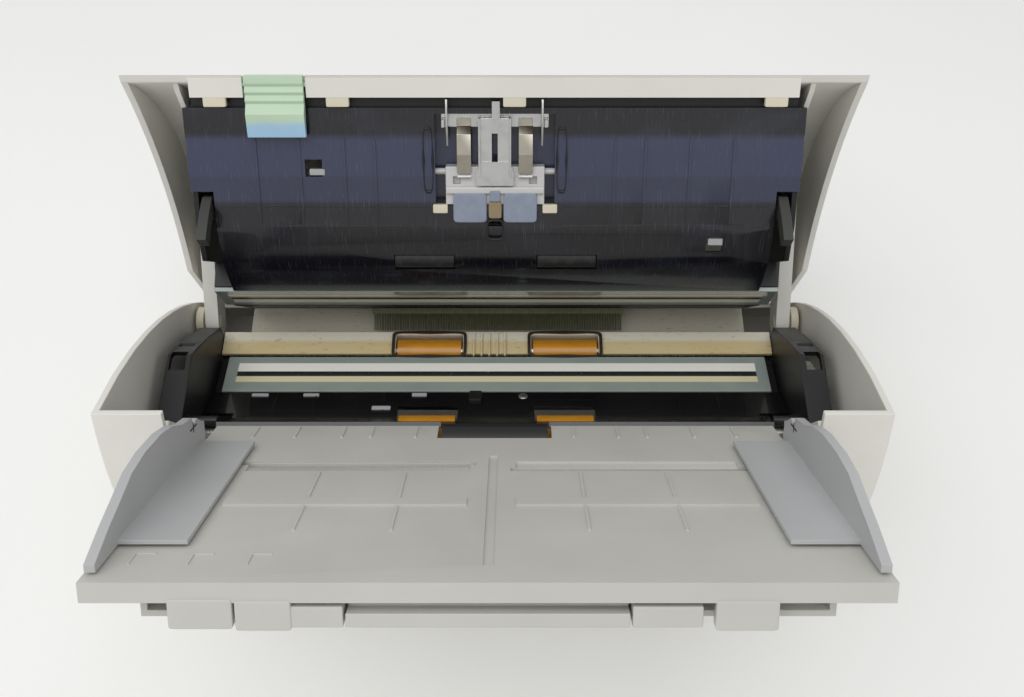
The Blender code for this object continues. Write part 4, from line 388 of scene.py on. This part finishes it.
def lath(name, path, wide, thick, side, up, paint, body, square=0.25, around=20, closed=False):
    """A bar: a rounded rectangle, half of wide and thick times soft cosines and sines, carried
    along a path with its own side and up directions."""
    turn = full_turn(around)
    ring_x = soft(np.cos(turn), square) / 2
    ring_y = soft(np.sin(turn), square) / 2
    path = np.asarray(path, float)
    wide = np.broadcast_to(np.asarray(wide, float), len(path))[:, None, None]
    thick = np.broadcast_to(np.asarray(thick, float), len(path))[:, None, None]
    side = np.broadcast_to(np.asarray(side, float), path.shape)[:, None]
    up = np.broadcast_to(np.asarray(up, float), path.shape)[:, None]
    rings = path[:, None] + side * wide * ring_x[None, :, None] + up * thick * ring_y[None, :, None]
    return ringed(name, rings, paint, body, closed)


RIDGE_ENDS = (0.0265, 0.1085)
RIDGE_PLACES = (0.0092, 0.0010)
RIDGE_WIDE = 0.0006
RIDGE_THICK = 0.0010
RIDGE_OUT = -0.0003

for side, which in SIDES:
    for number, up in enumerate(RIDGE_PLACES, 1):
        path = [on_plate(up, RIDGE_OUT, side * x) for x in RIDGE_ENDS]
        name = f"plate_ridge_{which}_{number}"
        lath(name, path, RIDGE_WIDE, RIDGE_THICK, PLATE_UP, PLATE_OUT, plate_paint, "cover")


# Liner: a matt black moulding that closes the gap between the plate and the shell's free edge.
# It is clipped to the shell behind the cream tabs.
LINER_UP = 0.0520
LINER_OUT = -0.0022
LINER_HALF = 0.1172
LINER_WIDE = 0.0090
LINER_THICK = 0.0014

black_paint = moulded(
    "black moulding", "black_plastic", tone(24, 24, 26), 0.42, mottle=0.25, depth=0.00002
)
path = [on_plate(LINER_UP, LINER_OUT, x) for x in (-LINER_HALF, LINER_HALF)]
lath("cover_liner", path, LINER_WIDE, LINER_THICK, PLATE_UP, PLATE_OUT, black_paint, "cover")


# Tabs on the free edge: small cream mouldings that hook the inner frame to the outer shell.
# One stands at each end, and two more share the length between them.
PLATE_AXES = (ACROSS, PLATE_UP, PLATE_OUT)
PILLOW_SQUARE = 0.16
TAB_PLACES = (-0.1070, -0.0600, 0.0077, 0.1078)
TAB_UP = 0.0513
TAB_OUT = 0.0020
TAB_HALVES = (0.0044, 0.0028, 0.0013)


def pillow(name, middle, halves, axes, paint, body, square=PILLOW_SQUARE, rows=14, around=28):
    """A block with soft edges: a ball whose sines and cosines are raised to a small power,
    stretched by half sizes along three axes."""
    turn = full_turn(around)
    climb = np.linspace(-math.pi / 2, math.pi / 2, rows + 2)[1:-1]
    wide = soft(np.cos(climb), square)[:, None] * soft(np.cos(turn), square)
    long = soft(np.cos(climb), square)[:, None] * soft(np.sin(turn), square)
    high = soft(np.sin(climb), square)[:, None] * np.ones(around)
    waves = (wide, long, high)
    shape = sum(w[..., None] * h * np.asarray(a) for w, h, a in zip(waves, halves, axes))
    return ringed(name, np.asarray(middle) + shape, paint, body)


cream_paint = moulded("cream moulding", "cream_plastic", tone(219, 212, 190), 0.50, mottle=0.08)
for number, across in enumerate(TAB_PLACES, 1):
    middle = on_plate(TAB_UP, TAB_OUT, across)
    pillow(f"edge_tab_{number}", middle, TAB_HALVES, PLATE_AXES, cream_paint, "cover")


# Release lever: a soft green thumb piece with moulded scoops, printed light blue at its foot.
# It snaps on the latch bar, which it turns.
LEVER_CHANGE = (0.042, 0.0455)
LEVER_FRAY = 0.002

lever_paint = Paint("green and blue lever", "green_lever")
lever_cloud = lever_paint.noise(0.004, 3)
lever_share = (along_plate(lever_paint) + lever_cloud * LEVER_FRAY).rise(*LEVER_CHANGE)
lever_tone = lever_paint.mix(lever_share, tone(163, 199, 226), tone(190, 213, 186))
lever_grain = lever_paint.noise(0.0004, 1)
lever_paint.wear(lever_tone, lever_cloud * 0.15 + 0.36, lever_grain, depth=0.000015)
eased("release_lever", lever_paint, 0.0006)


# Separation pads: blue-grey rubber blocks with ground faces, which hold back all sheets but one.
# They are glued to a glossy grey holder that rocks.
PAD_PLACE = (0.0088, 0.0009, 0.00995)
PAD_HALVES = (0.0066, 0.0059, 0.0009)

pad_paint = Paint("ground pad rubber", "pad_rubber")
pad_lines = pad_paint.noise(0.0004, 2, (8, 1, 1))
pad_cloud = pad_paint.noise(0.004, 3)
pad_tone = pad_paint.mix(pad_cloud, tone(122, 132, 150), tone(152, 161, 178))
pad_paint.wear(pad_tone, pad_cloud * 0.2 + 0.55, pad_lines, depth=0.00003)
for side, which in SIDES:
    up, out, across = PAD_PLACE
    middle = on_plate(up, out, side * across)
    name = f"pad_{which}_ground"
    pad = pillow(name, middle, PAD_HALVES, PLATE_AXES, pad_paint, "pads", 0.22, 18, 40)
    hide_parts("pad_" + which)


# Pad holder: a glossy grey moulding with a ridge above the pads, a blue-grey key in its middle
# and a tan tongue between the pads.
HOLDER_RIDGE_HALF = 0.0192
HOLDER_RIDGE_PLACE = (0.0157, 0.0005)
HOLDER_RIDGE_WIDE = 0.0028
HOLDER_RIDGE_THICK = 0.0018
KEY_PLACE = (0.0135, 0.0010)
KEY_HALVES = (0.0021, 0.0022, 0.0011)
TONGUE_PLACE = (0.0078, 0.0004)
TONGUE_HALVES = (0.0026, 0.0034, 0.0010)

holder_paint = moulded(
    "glossy grey holder", "pad_grey", tone(204, 203, 202), 0.30, mottle=0.05, Coat_Weight=0.3
)
eased("pad_holder", holder_paint, 0.0004)
path = [on_plate(*HOLDER_RIDGE_PLACE, x) for x in (-HOLDER_RIDGE_HALF, HOLDER_RIDGE_HALF)]
sizes = (HOLDER_RIDGE_WIDE, HOLDER_RIDGE_THICK)
lath("holder_ridge", path, *sizes, PLATE_UP, PLATE_OUT, holder_paint, "pads", 0.5)
key_middle = on_plate(*KEY_PLACE)
pillow("holder_key", key_middle, KEY_HALVES, PLATE_AXES, pad_paint, "pads", 0.3)
tan_paint = moulded("tan moulding", "cream_plastic", tone(150, 132, 104), 0.45, mottle=0.10)
tongue_middle = on_plate(*TONGUE_PLACE)
pillow("holder_tongue", tongue_middle, TONGUE_HALVES, PLATE_AXES, tan_paint, "pads", 0.25)


# Leaf springs and bracket: folded from rolled strip steel and screwed down over the holder.
# The springs press the pads on the sheet, and the bracket's flare keeps it off their heads.
FLARE_UP = np.array((0.0178, 0.0182, 0.0225, 0.0250, 0.0270, 0.0272))
FLARE_WIDE = np.array((0.0138, 0.0148, 0.0148, 0.0132, 0.0116, 0.0108))
FLARE_OUT = 0.0016
FLARE_THICK = 0.0008
STUB_ENDS = (0.0438, 0.0505)
STUB_PLACE = (0.0014, 0.0005)
STUB_WIDE = 0.0032
STUB_THICK = 0.0014


def strip_steel(name, slot, colour, roughness):
    """Rolled strip: metal with fine lines along the rolling direction and a few stains."""
    paint = Paint(name, slot, Metallic=1.0)
    rolled = paint.noise(0.0003, 3, (0.6, 14, 14))
    stains = paint.noise(0.006, 4)
    dull = tuple(c * 0.72 for c in colour)
    shade = paint.mix(stains.rise(0.45, 0.75) * 0.5, colour, dull)
    gloss = rolled * 0.16 + stains * 0.10 + (roughness - 0.1)
    return paint.wear(shade, gloss, rolled, depth=0.000006)


spring_paint = strip_steel("spring strip", "spring_steel", tone(186, 180, 166), roughness=0.30)
bright_tone = tone(214, 214, 212)
steel_paint = strip_steel("bright strip steel", "bright_steel", bright_tone, roughness=0.24)
for which in ("left", "right"):
    eased("leaf_spring_" + which, spring_paint, 0.0001)
eased("pad_bracket", steel_paint, 0.00018)
path = [on_plate(up, FLARE_OUT) for up in FLARE_UP]
directions = (ACROSS, PLATE_OUT)
lath("bracket_flare", path, FLARE_WIDE, FLARE_THICK, *directions, steel_paint, "cover", 0.12)
path = [on_plate(up, *STUB_PLACE) for up in STUB_ENDS]
lath("bracket_stub", path, STUB_WIDE, STUB_THICK, *directions, steel_paint, "cover")


# Spring folds, blade fins and pivot blocks: the folded foot of each spring, the upright steel
# fin beside it and the cream block in which the holder's pivot turns.
FOLD_ENDS = (0.0094, 0.0147)
FOLD_PLACE = (0.0212, 0.0011)
FOLD_WIDE = 0.0012
FOLD_THICK = 0.0009
FIN_UP = np.linspace(0.0335, 0.0515, 7)
FIN_HIGH = 0.0014 + 0.0042 * np.sin(np.linspace(0.15, 2.2, 7))
FIN_SUNK = 0.0004
FIN_ACROSS = 0.0184
FIN_WIDE = 0.0009
PIVOT_PLACE = (0.0084, 0.0006, 0.0217)
PIVOT_HALVES = (0.0029, 0.0017, 0.0012)

for side, which in SIDES:
    path = [on_plate(*FOLD_PLACE, side * x) for x in FOLD_ENDS]
    sizes = (FOLD_WIDE, FOLD_THICK)
    name = f"spring_fold_{which}"
    lath(name, path, *sizes, PLATE_UP, PLATE_OUT, steel_paint, "cover", 0.7)
    path = [on_plate(u, h / 2 - FIN_SUNK, side * FIN_ACROSS) for u, h in zip(FIN_UP, FIN_HIGH)]
    lath(f"blade_fin_{which}", path, FIN_WIDE, FIN_HIGH, *directions, steel_paint, "cover")
    up, out, across = PIVOT_PLACE
    middle = on_plate(up, out, side * across)
    pillow(f"pivot_block_{which}", middle, PIVOT_HALVES, PLATE_AXES, cream_paint, "cover")


# Slot collars: raised black rims moulded round the plate's three slots, two for the springs'
# ends and one in the middle under the pads.
COLLAR_OUT = 0.0004
COLLAR_THICK = 0.0009
COLLAR_STEPS = 48
SIDE_COLLAR = {"across": 0.0262, "up": 0.0275, "wide": 0.0036, "tall": 0.0250, "bar": 0.0010}
CENTRE_COLLAR = {"across": 0, "up": -0.0005, "wide": 0.0062, "tall": 0.0080, "bar": 0.0009}


def outwards_of(path):
    """For each point of a ring, the direction from the ring's middle to it."""
    away = path - path.mean(axis=0)
    return away / np.linalg.norm(away, axis=1)[:, None]


def collar(name, side, across, up, wide, tall, bar):
    """A flat rim: a rounded bar carried round a rounded rectangle of half wide and half tall
    times soft cosines and sines."""
    turn = full_turn(COLLAR_STEPS)
    x = soft(np.cos(turn), 0.45) * wide / 2
    y = soft(np.sin(turn), 0.45) * tall / 2
    middle = on_plate(up, COLLAR_OUT, side * across)
    path = middle + x[:, None] * ACROSS + y[:, None] * PLATE_UP
    ways = (outwards_of(path), PLATE_OUT)
    lath(name, path, bar, COLLAR_THICK, *ways, black_paint, "cover", 0.6, 12, True)


for side, which in SIDES:
    collar(f"slot_collar_{which}", side, **SIDE_COLLAR)
collar("centre_collar", 1, **CENTRE_COLLAR)


# Window sills: small grey reflectors of the two sheet sensors, seen through the dark plate.
# Each is a separate moulding, clipped behind its window.
SILL_LEFT = (0.0228, -0.0006, -0.0699)
SILL_LEFT_HALVES = (0.0030, 0.0012, 0.0008)
SILL_RIGHT = (-0.0060, -0.0026, 0.0889)
SILL_RIGHT_HALVES = (0.0030, 0.0014, 0.0008)

grey_paint = moulded("mid-grey moulding", "grey_guide", tone(172, 173, 174), 0.48, mottle=0.05)
for which, place, halves in (
    ("left", SILL_LEFT, SILL_LEFT_HALVES),
    ("right", SILL_RIGHT, SILL_RIGHT_HALVES),
):
    pillow(f"window_sill_{which}", on_plate(*place), halves, PLATE_AXES, grey_paint, "cover")


# Rollers: ground rubber sleeves on steel shafts, amber where they drive the sheet and black
# where they idle. The sheet has polished them and left paper dust on the black ones.
ROLLER_EDGE = 0.0004

amber_paint = Paint("amber roller rubber", "amber_rubber", Coat_Weight=0.35)
ground = amber_paint.noise(0.0003, 2, (1, 20, 20))
polish = amber_paint.noise(0.006, 3)
amber_tone = amber_paint.mix(polish, tone(176, 112, 12), tone(212, 150, 38))
amber_tone = amber_paint.mix(ground.rise(0.6, 0.8) * 0.3, amber_tone, tone(120, 74, 10))
amber_paint.wear(amber_tone, polish * 0.2 + 0.25, ground, depth=0.00002)
rubber_paint = Paint("black roller rubber", "black_rubber")
ground = rubber_paint.noise(0.00035, 2, (1, 20, 20))
dust = rubber_paint.noise(0.003, 4)
rubber_tone = rubber_paint.mix(dust.rise(0.45, 0.8) * 0.4, tone(22, 22, 22), tone(70, 70, 68))
rubber_paint.wear(rubber_tone, dust * 0.2 + 0.48, ground, depth=0.00003)
for which in ("left", "right"):
    eased("feed_roller_" + which, amber_paint, ROLLER_EDGE)
    eased("exit_roller_" + which, amber_paint, ROLLER_EDGE)
    eased("pinch_roller_" + which, rubber_paint, ROLLER_EDGE)
eased("exit_idler", rubber_paint, 0.0002)
eased("pick_roller", rubber_paint, ROLLER_EDGE)
for node in ("feed_shaft", "exit_shaft"):
    eased(node, steel_paint, 0.0003)


# Roller collars: turned steel rings pressed on the feed and exit shafts at each sleeve's ends.
# Their outer corners are broken.
FEED_AXIS = (0, -0.00493, 0.06764)
EXIT_AXIS = (0, 0.04406, 0.05202)
COLLAR_PLACES = np.array((-0.0010, -0.0010, -0.0007, 0.0007, 0.0010, 0.0010))
COLLAR_SHARES = np.array((0.70, 0.92, 1, 1, 0.92, 0.70))
SHAFT_COLLARS = (
    ("feed", "feed_drive", FEED_AXIS, 0.0050, (0.0153, 0.0426)),
    ("exit", "exit_drive", EXIT_AXIS, 0.0042, (0.0148, 0.0464)),
)


def turned(name, places, radii, paint, body, axis, start):
    """A turned piece: circles of the given radii at places along an axis through start."""
    axis = np.asarray(axis, float) / np.linalg.norm(axis)
    side = np.cross(axis, (0, 0, 1) if abs(axis[2]) < 0.9 else (0, 1, 0))
    side /= np.linalg.norm(side)
    other = np.cross(axis, side)
    turn = full_turn(32)
    circle = np.cos(turn)[:, None] * side + np.sin(turn)[:, None] * other
    middles = np.asarray(start) + np.asarray(places)[:, None, None] * axis
    return ringed(name, middles + np.asarray(radii)[:, None, None] * circle, paint, body)


for kind, body, start, radius, xs in SHAFT_COLLARS:
    for side, which in SIDES:
        for number, x in enumerate(xs, 1):
            name = f"{kind}_collar_{which}_{number}"
            places = side * x + COLLAR_PLACES
            turned(name, places, radius * COLLAR_SHARES, steel_paint, body, ACROSS, start)


# Scan glasses: ground glass bars with a printed border, a white reference stripe, the dark line
# that is scanned and the lamp's pale stripe. They are glued into the sensor housings.
GLASS_STRIPES = (
    (0.20, 0.44, tone(238, 238, 230)),
    (0.44, 0.58, tone(34, 36, 38)),
    (0.58, 0.74, tone(218, 209, 172)),
)
STRIPE_SOFT = 0.012
STRIPE_ENDS = (0.1145, 0.1152)


def scan_glass(name, across_slope, front, length):
    """Glass whose stripes lie at shares of its width, from its front edge to its rear edge."""
    paint = Paint(name, "scan_glass", Coat_Weight=0.6, Coat_Roughness=0.03)
    share = (paint.along(across_slope) - front) * (1 / length)
    inner = 1 - paint.along((1, 0, 0)).size().rise(*STRIPE_ENDS)
    haze = paint.noise(0.012, 4)
    dust = paint.noise(0.0008, 2).rise(0.68, 0.78)
    shade = paint.mix(haze, tone(132, 144, 140), tone(152, 160, 154))
    for low, high, colour in GLASS_STRIPES:
        shade = paint.mix(share.band(low, high, STRIPE_SOFT) * inner, shade, colour)
    shade = paint.mix(dust * 0.3, shade, tone(210, 210, 204))
    return paint.wear(shade, haze * 0.12 + dust * 0.2 + 0.04)


lower_paint = scan_glass("lower scan glass", (0, -1, 0), front=-0.0385, length=0.0200)
upper_paint = scan_glass("upper scan glass", (0, 0, 1), front=0.0741, length=0.0197)
eased("lower_glass", lower_paint, 0.0003)
eased("upper_glass", upper_paint, 0.0003)


# Black mouldings round the paper path: the two sensor housings, the cover's cheek plates and
# the pick roller's cap. They are matt, and screwed or clipped to the frames.
for node in (
    "lower_sensor_housing", "upper_sensor_housing",
    "cover_cheek_left", "cover_cheek_right", "pick_roller_cap",
):
    eased(node, black_paint, 0.0003)


# Antistatic brush: a strip of dark carbon fibres, crimped in a folded holder under the cover's
# exit guide. The CAD node carries its strands.
def repainted(paint, *nodes):
    """The CAD node stays as it is and takes the finish."""
    for node in nodes:
        frame["nodes"][node].material_slots[0].material = paint.material


fibre_paint = Paint("carbon brush fibre", "brush_fibre")
strands = fibre_paint.noise(0.0005, 2, (1, 8, 8))
fibre_tone = fibre_paint.mix(strands, tone(70, 70, 48), tone(150, 148, 118))
fibre_paint.wear(fibre_tone, strands * 0.3 + 0.55)
repainted(fibre_paint, "antistatic_brush")


# Exit plate: a cream moulding that carries the page out, stained tan where thousands of sheets
# have slid. Five low ribs stand in its middle.
STAIN_EDGE = (0.0455, 0.0480)
RIB_PLACES = (-0.0105, -0.0070, -0.0035, 0.0, 0.0035)
RIB_LINE = ((0.0385, 0.0582), (0.0440, 0.0580), (0.0505, 0.0578))
RIB_WIDE = 0.0008
RIB_THICK = 0.0012
UPRIGHT = (0, 0, 1)

exit_paint = Paint("stained exit plate", "cream_plastic")
cloud = exit_paint.noise(0.012, 5, (3, 1, 1))
fine_cloud = exit_paint.noise(0.0025, 4, (4, 1, 1))
grime = exit_paint.noise(0.0012, 2, (3, 1, 1)).rise(0.60, 0.75)
worn = 1 - exit_paint.along((0, 1, 0)).rise(*STAIN_EDGE)
stain = worn * (cloud * 0.5 + fine_cloud * 0.3 + 0.45)
exit_tone = exit_paint.mix(stain, tone(218, 214, 196), tone(204, 184, 132))
exit_tone = exit_paint.mix(grime * 0.35, exit_tone, tone(120, 100, 62))
exit_paint.wear(exit_tone, cloud * 0.25 + 0.30, fine_cloud, depth=0.00002)
eased("exit_plate", exit_paint, 0.0003)
for number, x in enumerate(RIB_PLACES, 1):
    path = [(x, y, z) for y, z in RIB_LINE]
    lath(f"exit_rib_{number}", path, RIB_WIDE, RIB_THICK, ACROSS, UPRIGHT, exit_paint, "base")


# Surrounds of the exit rollers: dark brown mouldings clipped into the exit plate's two windows.
# Each is one rounded bar round a roller.
SURROUND_MIDDLE = (0.0306, 0.0446, 0.0580)
SURROUND_HALVES = (0.0162, 0.0062)
SURROUND_STEPS = 56
SURROUND_WIDE = 0.0014
SURROUND_THICK = 0.0012

brown_paint = moulded("dark brown moulding", "black_plastic", tone(46, 36, 26), 0.40, mottle=0.15)
for side, which in SIDES:
    turn = full_turn(SURROUND_STEPS)
    x = side * SURROUND_MIDDLE[0] + soft(np.cos(turn), 0.2) * SURROUND_HALVES[0]
    y = SURROUND_MIDDLE[1] + soft(np.sin(turn), 0.2) * SURROUND_HALVES[1]
    path = np.stack([x, y, np.full(SURROUND_STEPS, SURROUND_MIDDLE[2])], -1)
    sizes = (SURROUND_WIDE, SURROUND_THICK)
    ways = (outwards_of(path), UPRIGHT)
    lath(f"exit_surround_{which}", path, *sizes, *ways, brown_paint, "base", 0.4, 12, True)


# Feed trough and side frames: a glossy black trough guides the sheet from the feed rollers to
# the glass, between two matt black frames screwed to the base.
gloss_paint = moulded(
    "glossy black moulding", "black_plastic", tone(18, 18, 21), 0.24,
    mottle=0.3, grain=0.0006, depth=0.00001, Coat_Weight=0.4,
)
eased("lower_guide_plate", gloss_paint, 0.0003)
for node in ("side_frame_left", "side_frame_right"):
    eased(node, black_paint, 0.0004)


# Trough details: eight moulded seams, three grey sensor covers, a black block, a small grey
# plate and the bright screw that holds the trough.
TROUGH_EDGE = np.array((0, 0.0178, 0.0627))
TROUGH_DOWN = np.array((0, -0.8596, 0.5110))
TROUGH_LIFT = np.array((0, -0.5110, 0.8596))
TROUGH_OUT = np.array((0, 0.5110, 0.8596))
TROUGH_AXES = (ACROSS, TROUGH_DOWN, TROUGH_OUT)
SEAM_PLACES = (0.0481, 0.0596, 0.0780, 0.0947)
SEAM_ENDS = (0.0020, 0.0150)
SEAM_LIFT = -0.0006
SEAM_WIDE = 0.0005
SEAM_THICK = 0.0010
COVER_LIFT = -0.0002
COVER_THICK_HALF = 0.0006
SENSOR_COVERS = (
    (-0.1023, 0.0030, 0.0036, 0.0008),
    (-0.0802, 0.0030, 0.0034, 0.0008),
    (-0.0334, 0.0028, 0.0032, 0.0010),
)
BLOCK_PLACE = (0.0040, 0.0000, -0.0091)
BLOCK_HALVES = (0.0027, 0.0036, 0.0010)
SMALL_PLATE_PLACE = (0.0135, -0.0003, -0.0489)
SMALL_PLATE_HALVES = (0.0040, 0.0012, 0.0006)
SCREW_PLACE = (0.0040, -0.0006, 0.0115)
SCREW_PLACES = (-0.0010, 0.0002, 0.0006, 0.0007)
SCREW_RADII = (0.0021, 0.0021, 0.0016, 0.0008)


def on_trough(along, lift, across):
    """A place on the trough: along its slope from the glass to the feed rollers, lifted up and
    towards the feed side, and across."""
    return TROUGH_EDGE + along * TROUGH_DOWN + lift * TROUGH_LIFT + across * ACROSS


seams = [-x for x in reversed(SEAM_PLACES)] + list(SEAM_PLACES)
for number, x in enumerate(seams, 1):
    path = [on_trough(along, SEAM_LIFT, x) for along in SEAM_ENDS]
    sizes = (SEAM_WIDE, SEAM_THICK)
    lath(f"trough_seam_{number}", path, *sizes, ACROSS, TROUGH_OUT, gloss_paint, "base")
for number, (x, along, half, tall) in enumerate(SENSOR_COVERS, 1):
    middle = on_trough(along, COVER_LIFT, x)
    halves = (half, tall, COVER_THICK_HALF)
    pillow(f"sensor_cover_{number}", middle, halves, TROUGH_AXES, grey_paint, "base")
block_middle = on_trough(*BLOCK_PLACE)
pillow("trough_block", block_middle, BLOCK_HALVES, TROUGH_AXES, black_paint, "base")
small_middle = on_trough(*SMALL_PLATE_PLACE)
pillow("trough_plate", small_middle, SMALL_PLATE_HALVES, TROUGH_AXES, grey_paint, "base")
screw_middle = on_trough(*SCREW_PLACE)
screw_shape = (SCREW_PLACES, SCREW_RADII)
turned("trough_screw", *screw_shape, steel_paint, "base", TROUGH_OUT, screw_middle)


# Latch and hinge brackets: a dark grey bar through the cover with a moulded hook at each end,
# and the cream brackets in which the cover turns.
latch_paint = moulded("dark grey moulding", "dark_grey", tone(62, 62, 60), 0.45, mottle=0.12)
eased("latch_bar", latch_paint, 0.0004)
for node in ("hinge_bracket_left", "hinge_bracket_right"):
    eased(node, cream_paint, 0.0004)


# Feed chute and extension stages: warm grey mouldings with a fine grain, folded out to hold
# the stack of sheets. The stages slide in one another.
chute_paint = moulded("warm grey chute plastic", "grey_chute", tone(197, 196, 190), 0.50)
for node in ("chute_top", "chute_bottom", "extension_outer", "extension_inner"):
    eased(node, chute_paint, SHELL_EDGE)


# Paper guides and buttons: cooler grey mouldings. The guides slide on the chute, and the
# buttons stand in the cover's front.
guide_paint = moulded("grey guide plastic", "grey_guide", tone(183, 184, 185), 0.48)
for node in ("guide_left", "guide_right"):
    eased(node, guide_paint, SHELL_EDGE)
for node in ("scan_button", "power_button"):
    eased(node, guide_paint, 0.0006)


# Chute blocks and notch floor: three blocks under the chute's front edge that stop the stages,
# and the cream floor of the notch under the pick roller's cap.
CHUTE_FOOT = np.array((0, -0.01488, 0.09600))
CHUTE_DOWN = np.array((0, -0.7022, 0.7120))
CHUTE_OUT = np.array((0, 0.7120, 0.7022))
CHUTE_AXES = (ACROSS, CHUTE_DOWN, CHUTE_OUT)
FOOT_ALONG = 0.1335
FOOT_HALF_DEEP = (0.0020, 0.0045)
CHUTE_FEET = ((-0.0800, 0.0090, -0.0095), (-0.0625, 0.0078, -0.0100), (0.0722, 0.0088, -0.0100))
NOTCH_PLACE = (0.0125, -0.0034, 0)
NOTCH_HALVES = (0.0212, 0.0042, 0.0011)


def on_chute(along, above, across):
    """A place on the chute: along its slope from the feed end, above its surface, across."""
    return across * ACROSS + CHUTE_FOOT + along * CHUTE_DOWN + above * CHUTE_OUT


for number, (x, half, deep) in enumerate(CHUTE_FEET, 1):
    middle = on_chute(FOOT_ALONG, deep, x)
    halves = (half, *FOOT_HALF_DEEP)
    pillow(f"chute_foot_{number}", middle, halves, CHUTE_AXES, chute_paint, "chute", 0.12)
notch_middle = on_chute(*NOTCH_PLACE)
pillow("notch_floor", notch_middle, NOTCH_HALVES, CHUTE_AXES, cream_paint, "chute", 0.1)


# Size marks: plain raised ticks where the guides stand for common papers, with no lettering.
# Each has a stem along the chute and a short foot across it.
TICKS = ((-0.1030, 0.1200), (-0.0860, 0.1205), (-0.0690, 0.1205))
TICK_LIFT = 0.0001
TICK_BAR = 0.0006
TICK_HALF = 0.0035
TICK_FOOT = 0.0060

for number, (x, along) in enumerate(TICKS, 1):
    stem = [on_chute(along + s, TICK_LIFT, x) for s in (-TICK_HALF, TICK_HALF)]
    foot = [on_chute(along - TICK_HALF, TICK_LIFT, x + s) for s in (0, TICK_FOOT)]
    bar = (TICK_BAR, TICK_BAR)
    lath(f"size_tick_{number}", stem, *bar, ACROSS, CHUTE_OUT, chute_paint, "chute")
    lath(f"size_foot_{number}", foot, *bar, CHUTE_DOWN, CHUTE_OUT, chute_paint, "chute")


# Fill marks: a short black stroke with a cross stroke, printed on each guide's inner wall.
# They show how high the stack may stand.
MARK_ACROSS = 0.10945
MARK_STROKES = (
    (((0.0270, 0.0098), (0.0350, 0.0098)), CHUTE_OUT),
    (((0.0310, 0.0080), (0.0310, 0.0116)), CHUTE_DOWN),
)
MARK_WIDE = 0.0007
MARK_THICK = 0.0002

for side, which in SIDES:
    for number, (ends, width_way) in enumerate(MARK_STROKES, 1):
        path = [on_chute(along, above, side * MARK_ACROSS) for along, above in ends]
        name = f"fill_mark_{which}_{number}"
        ways = (width_way, ACROSS)
        body = which + "_guide"
        lath(name, path, MARK_WIDE, MARK_THICK, *ways, black_paint, body, 0.3, 12)


# Inside the body: gears, motor, board, inlet, port and feet keep their solids and take their
# own finishes. The feet are moulded rubber, pressed into the base.
gear_paint = moulded("white gear plastic", "white_gear", tone(224, 222, 212), 0.42)
foot_paint = moulded(
    "foot rubber", "foot_rubber", tone(34, 34, 34), 0.75, mottle=0.15, grain=0.0008, depth=0.00005
)
board_paint = Paint("green circuit board", "circuit_green", Coat_Weight=0.3)
tracks = board_paint.noise(0.0016, 0, (1, 6, 1)).band(0.49, 0.53, 0.01)
board_tone = board_paint.mix(tracks, tone(24, 92, 52), tone(58, 132, 84))
board_paint.wear(board_tone, tracks * 0.1 + 0.35, tracks, depth=0.00003)
repainted(gear_paint, "feed_gear", "exit_gear", "idler_gear", "motor_pinion", "guide_pinion")
repainted(foot_paint, "foot_front_left", "foot_front_right", "foot_rear_left", "foot_rear_right")
repainted(board_paint, "main_board")
repainted(steel_paint, "motor", "data_port")
repainted(black_paint, "power_inlet")
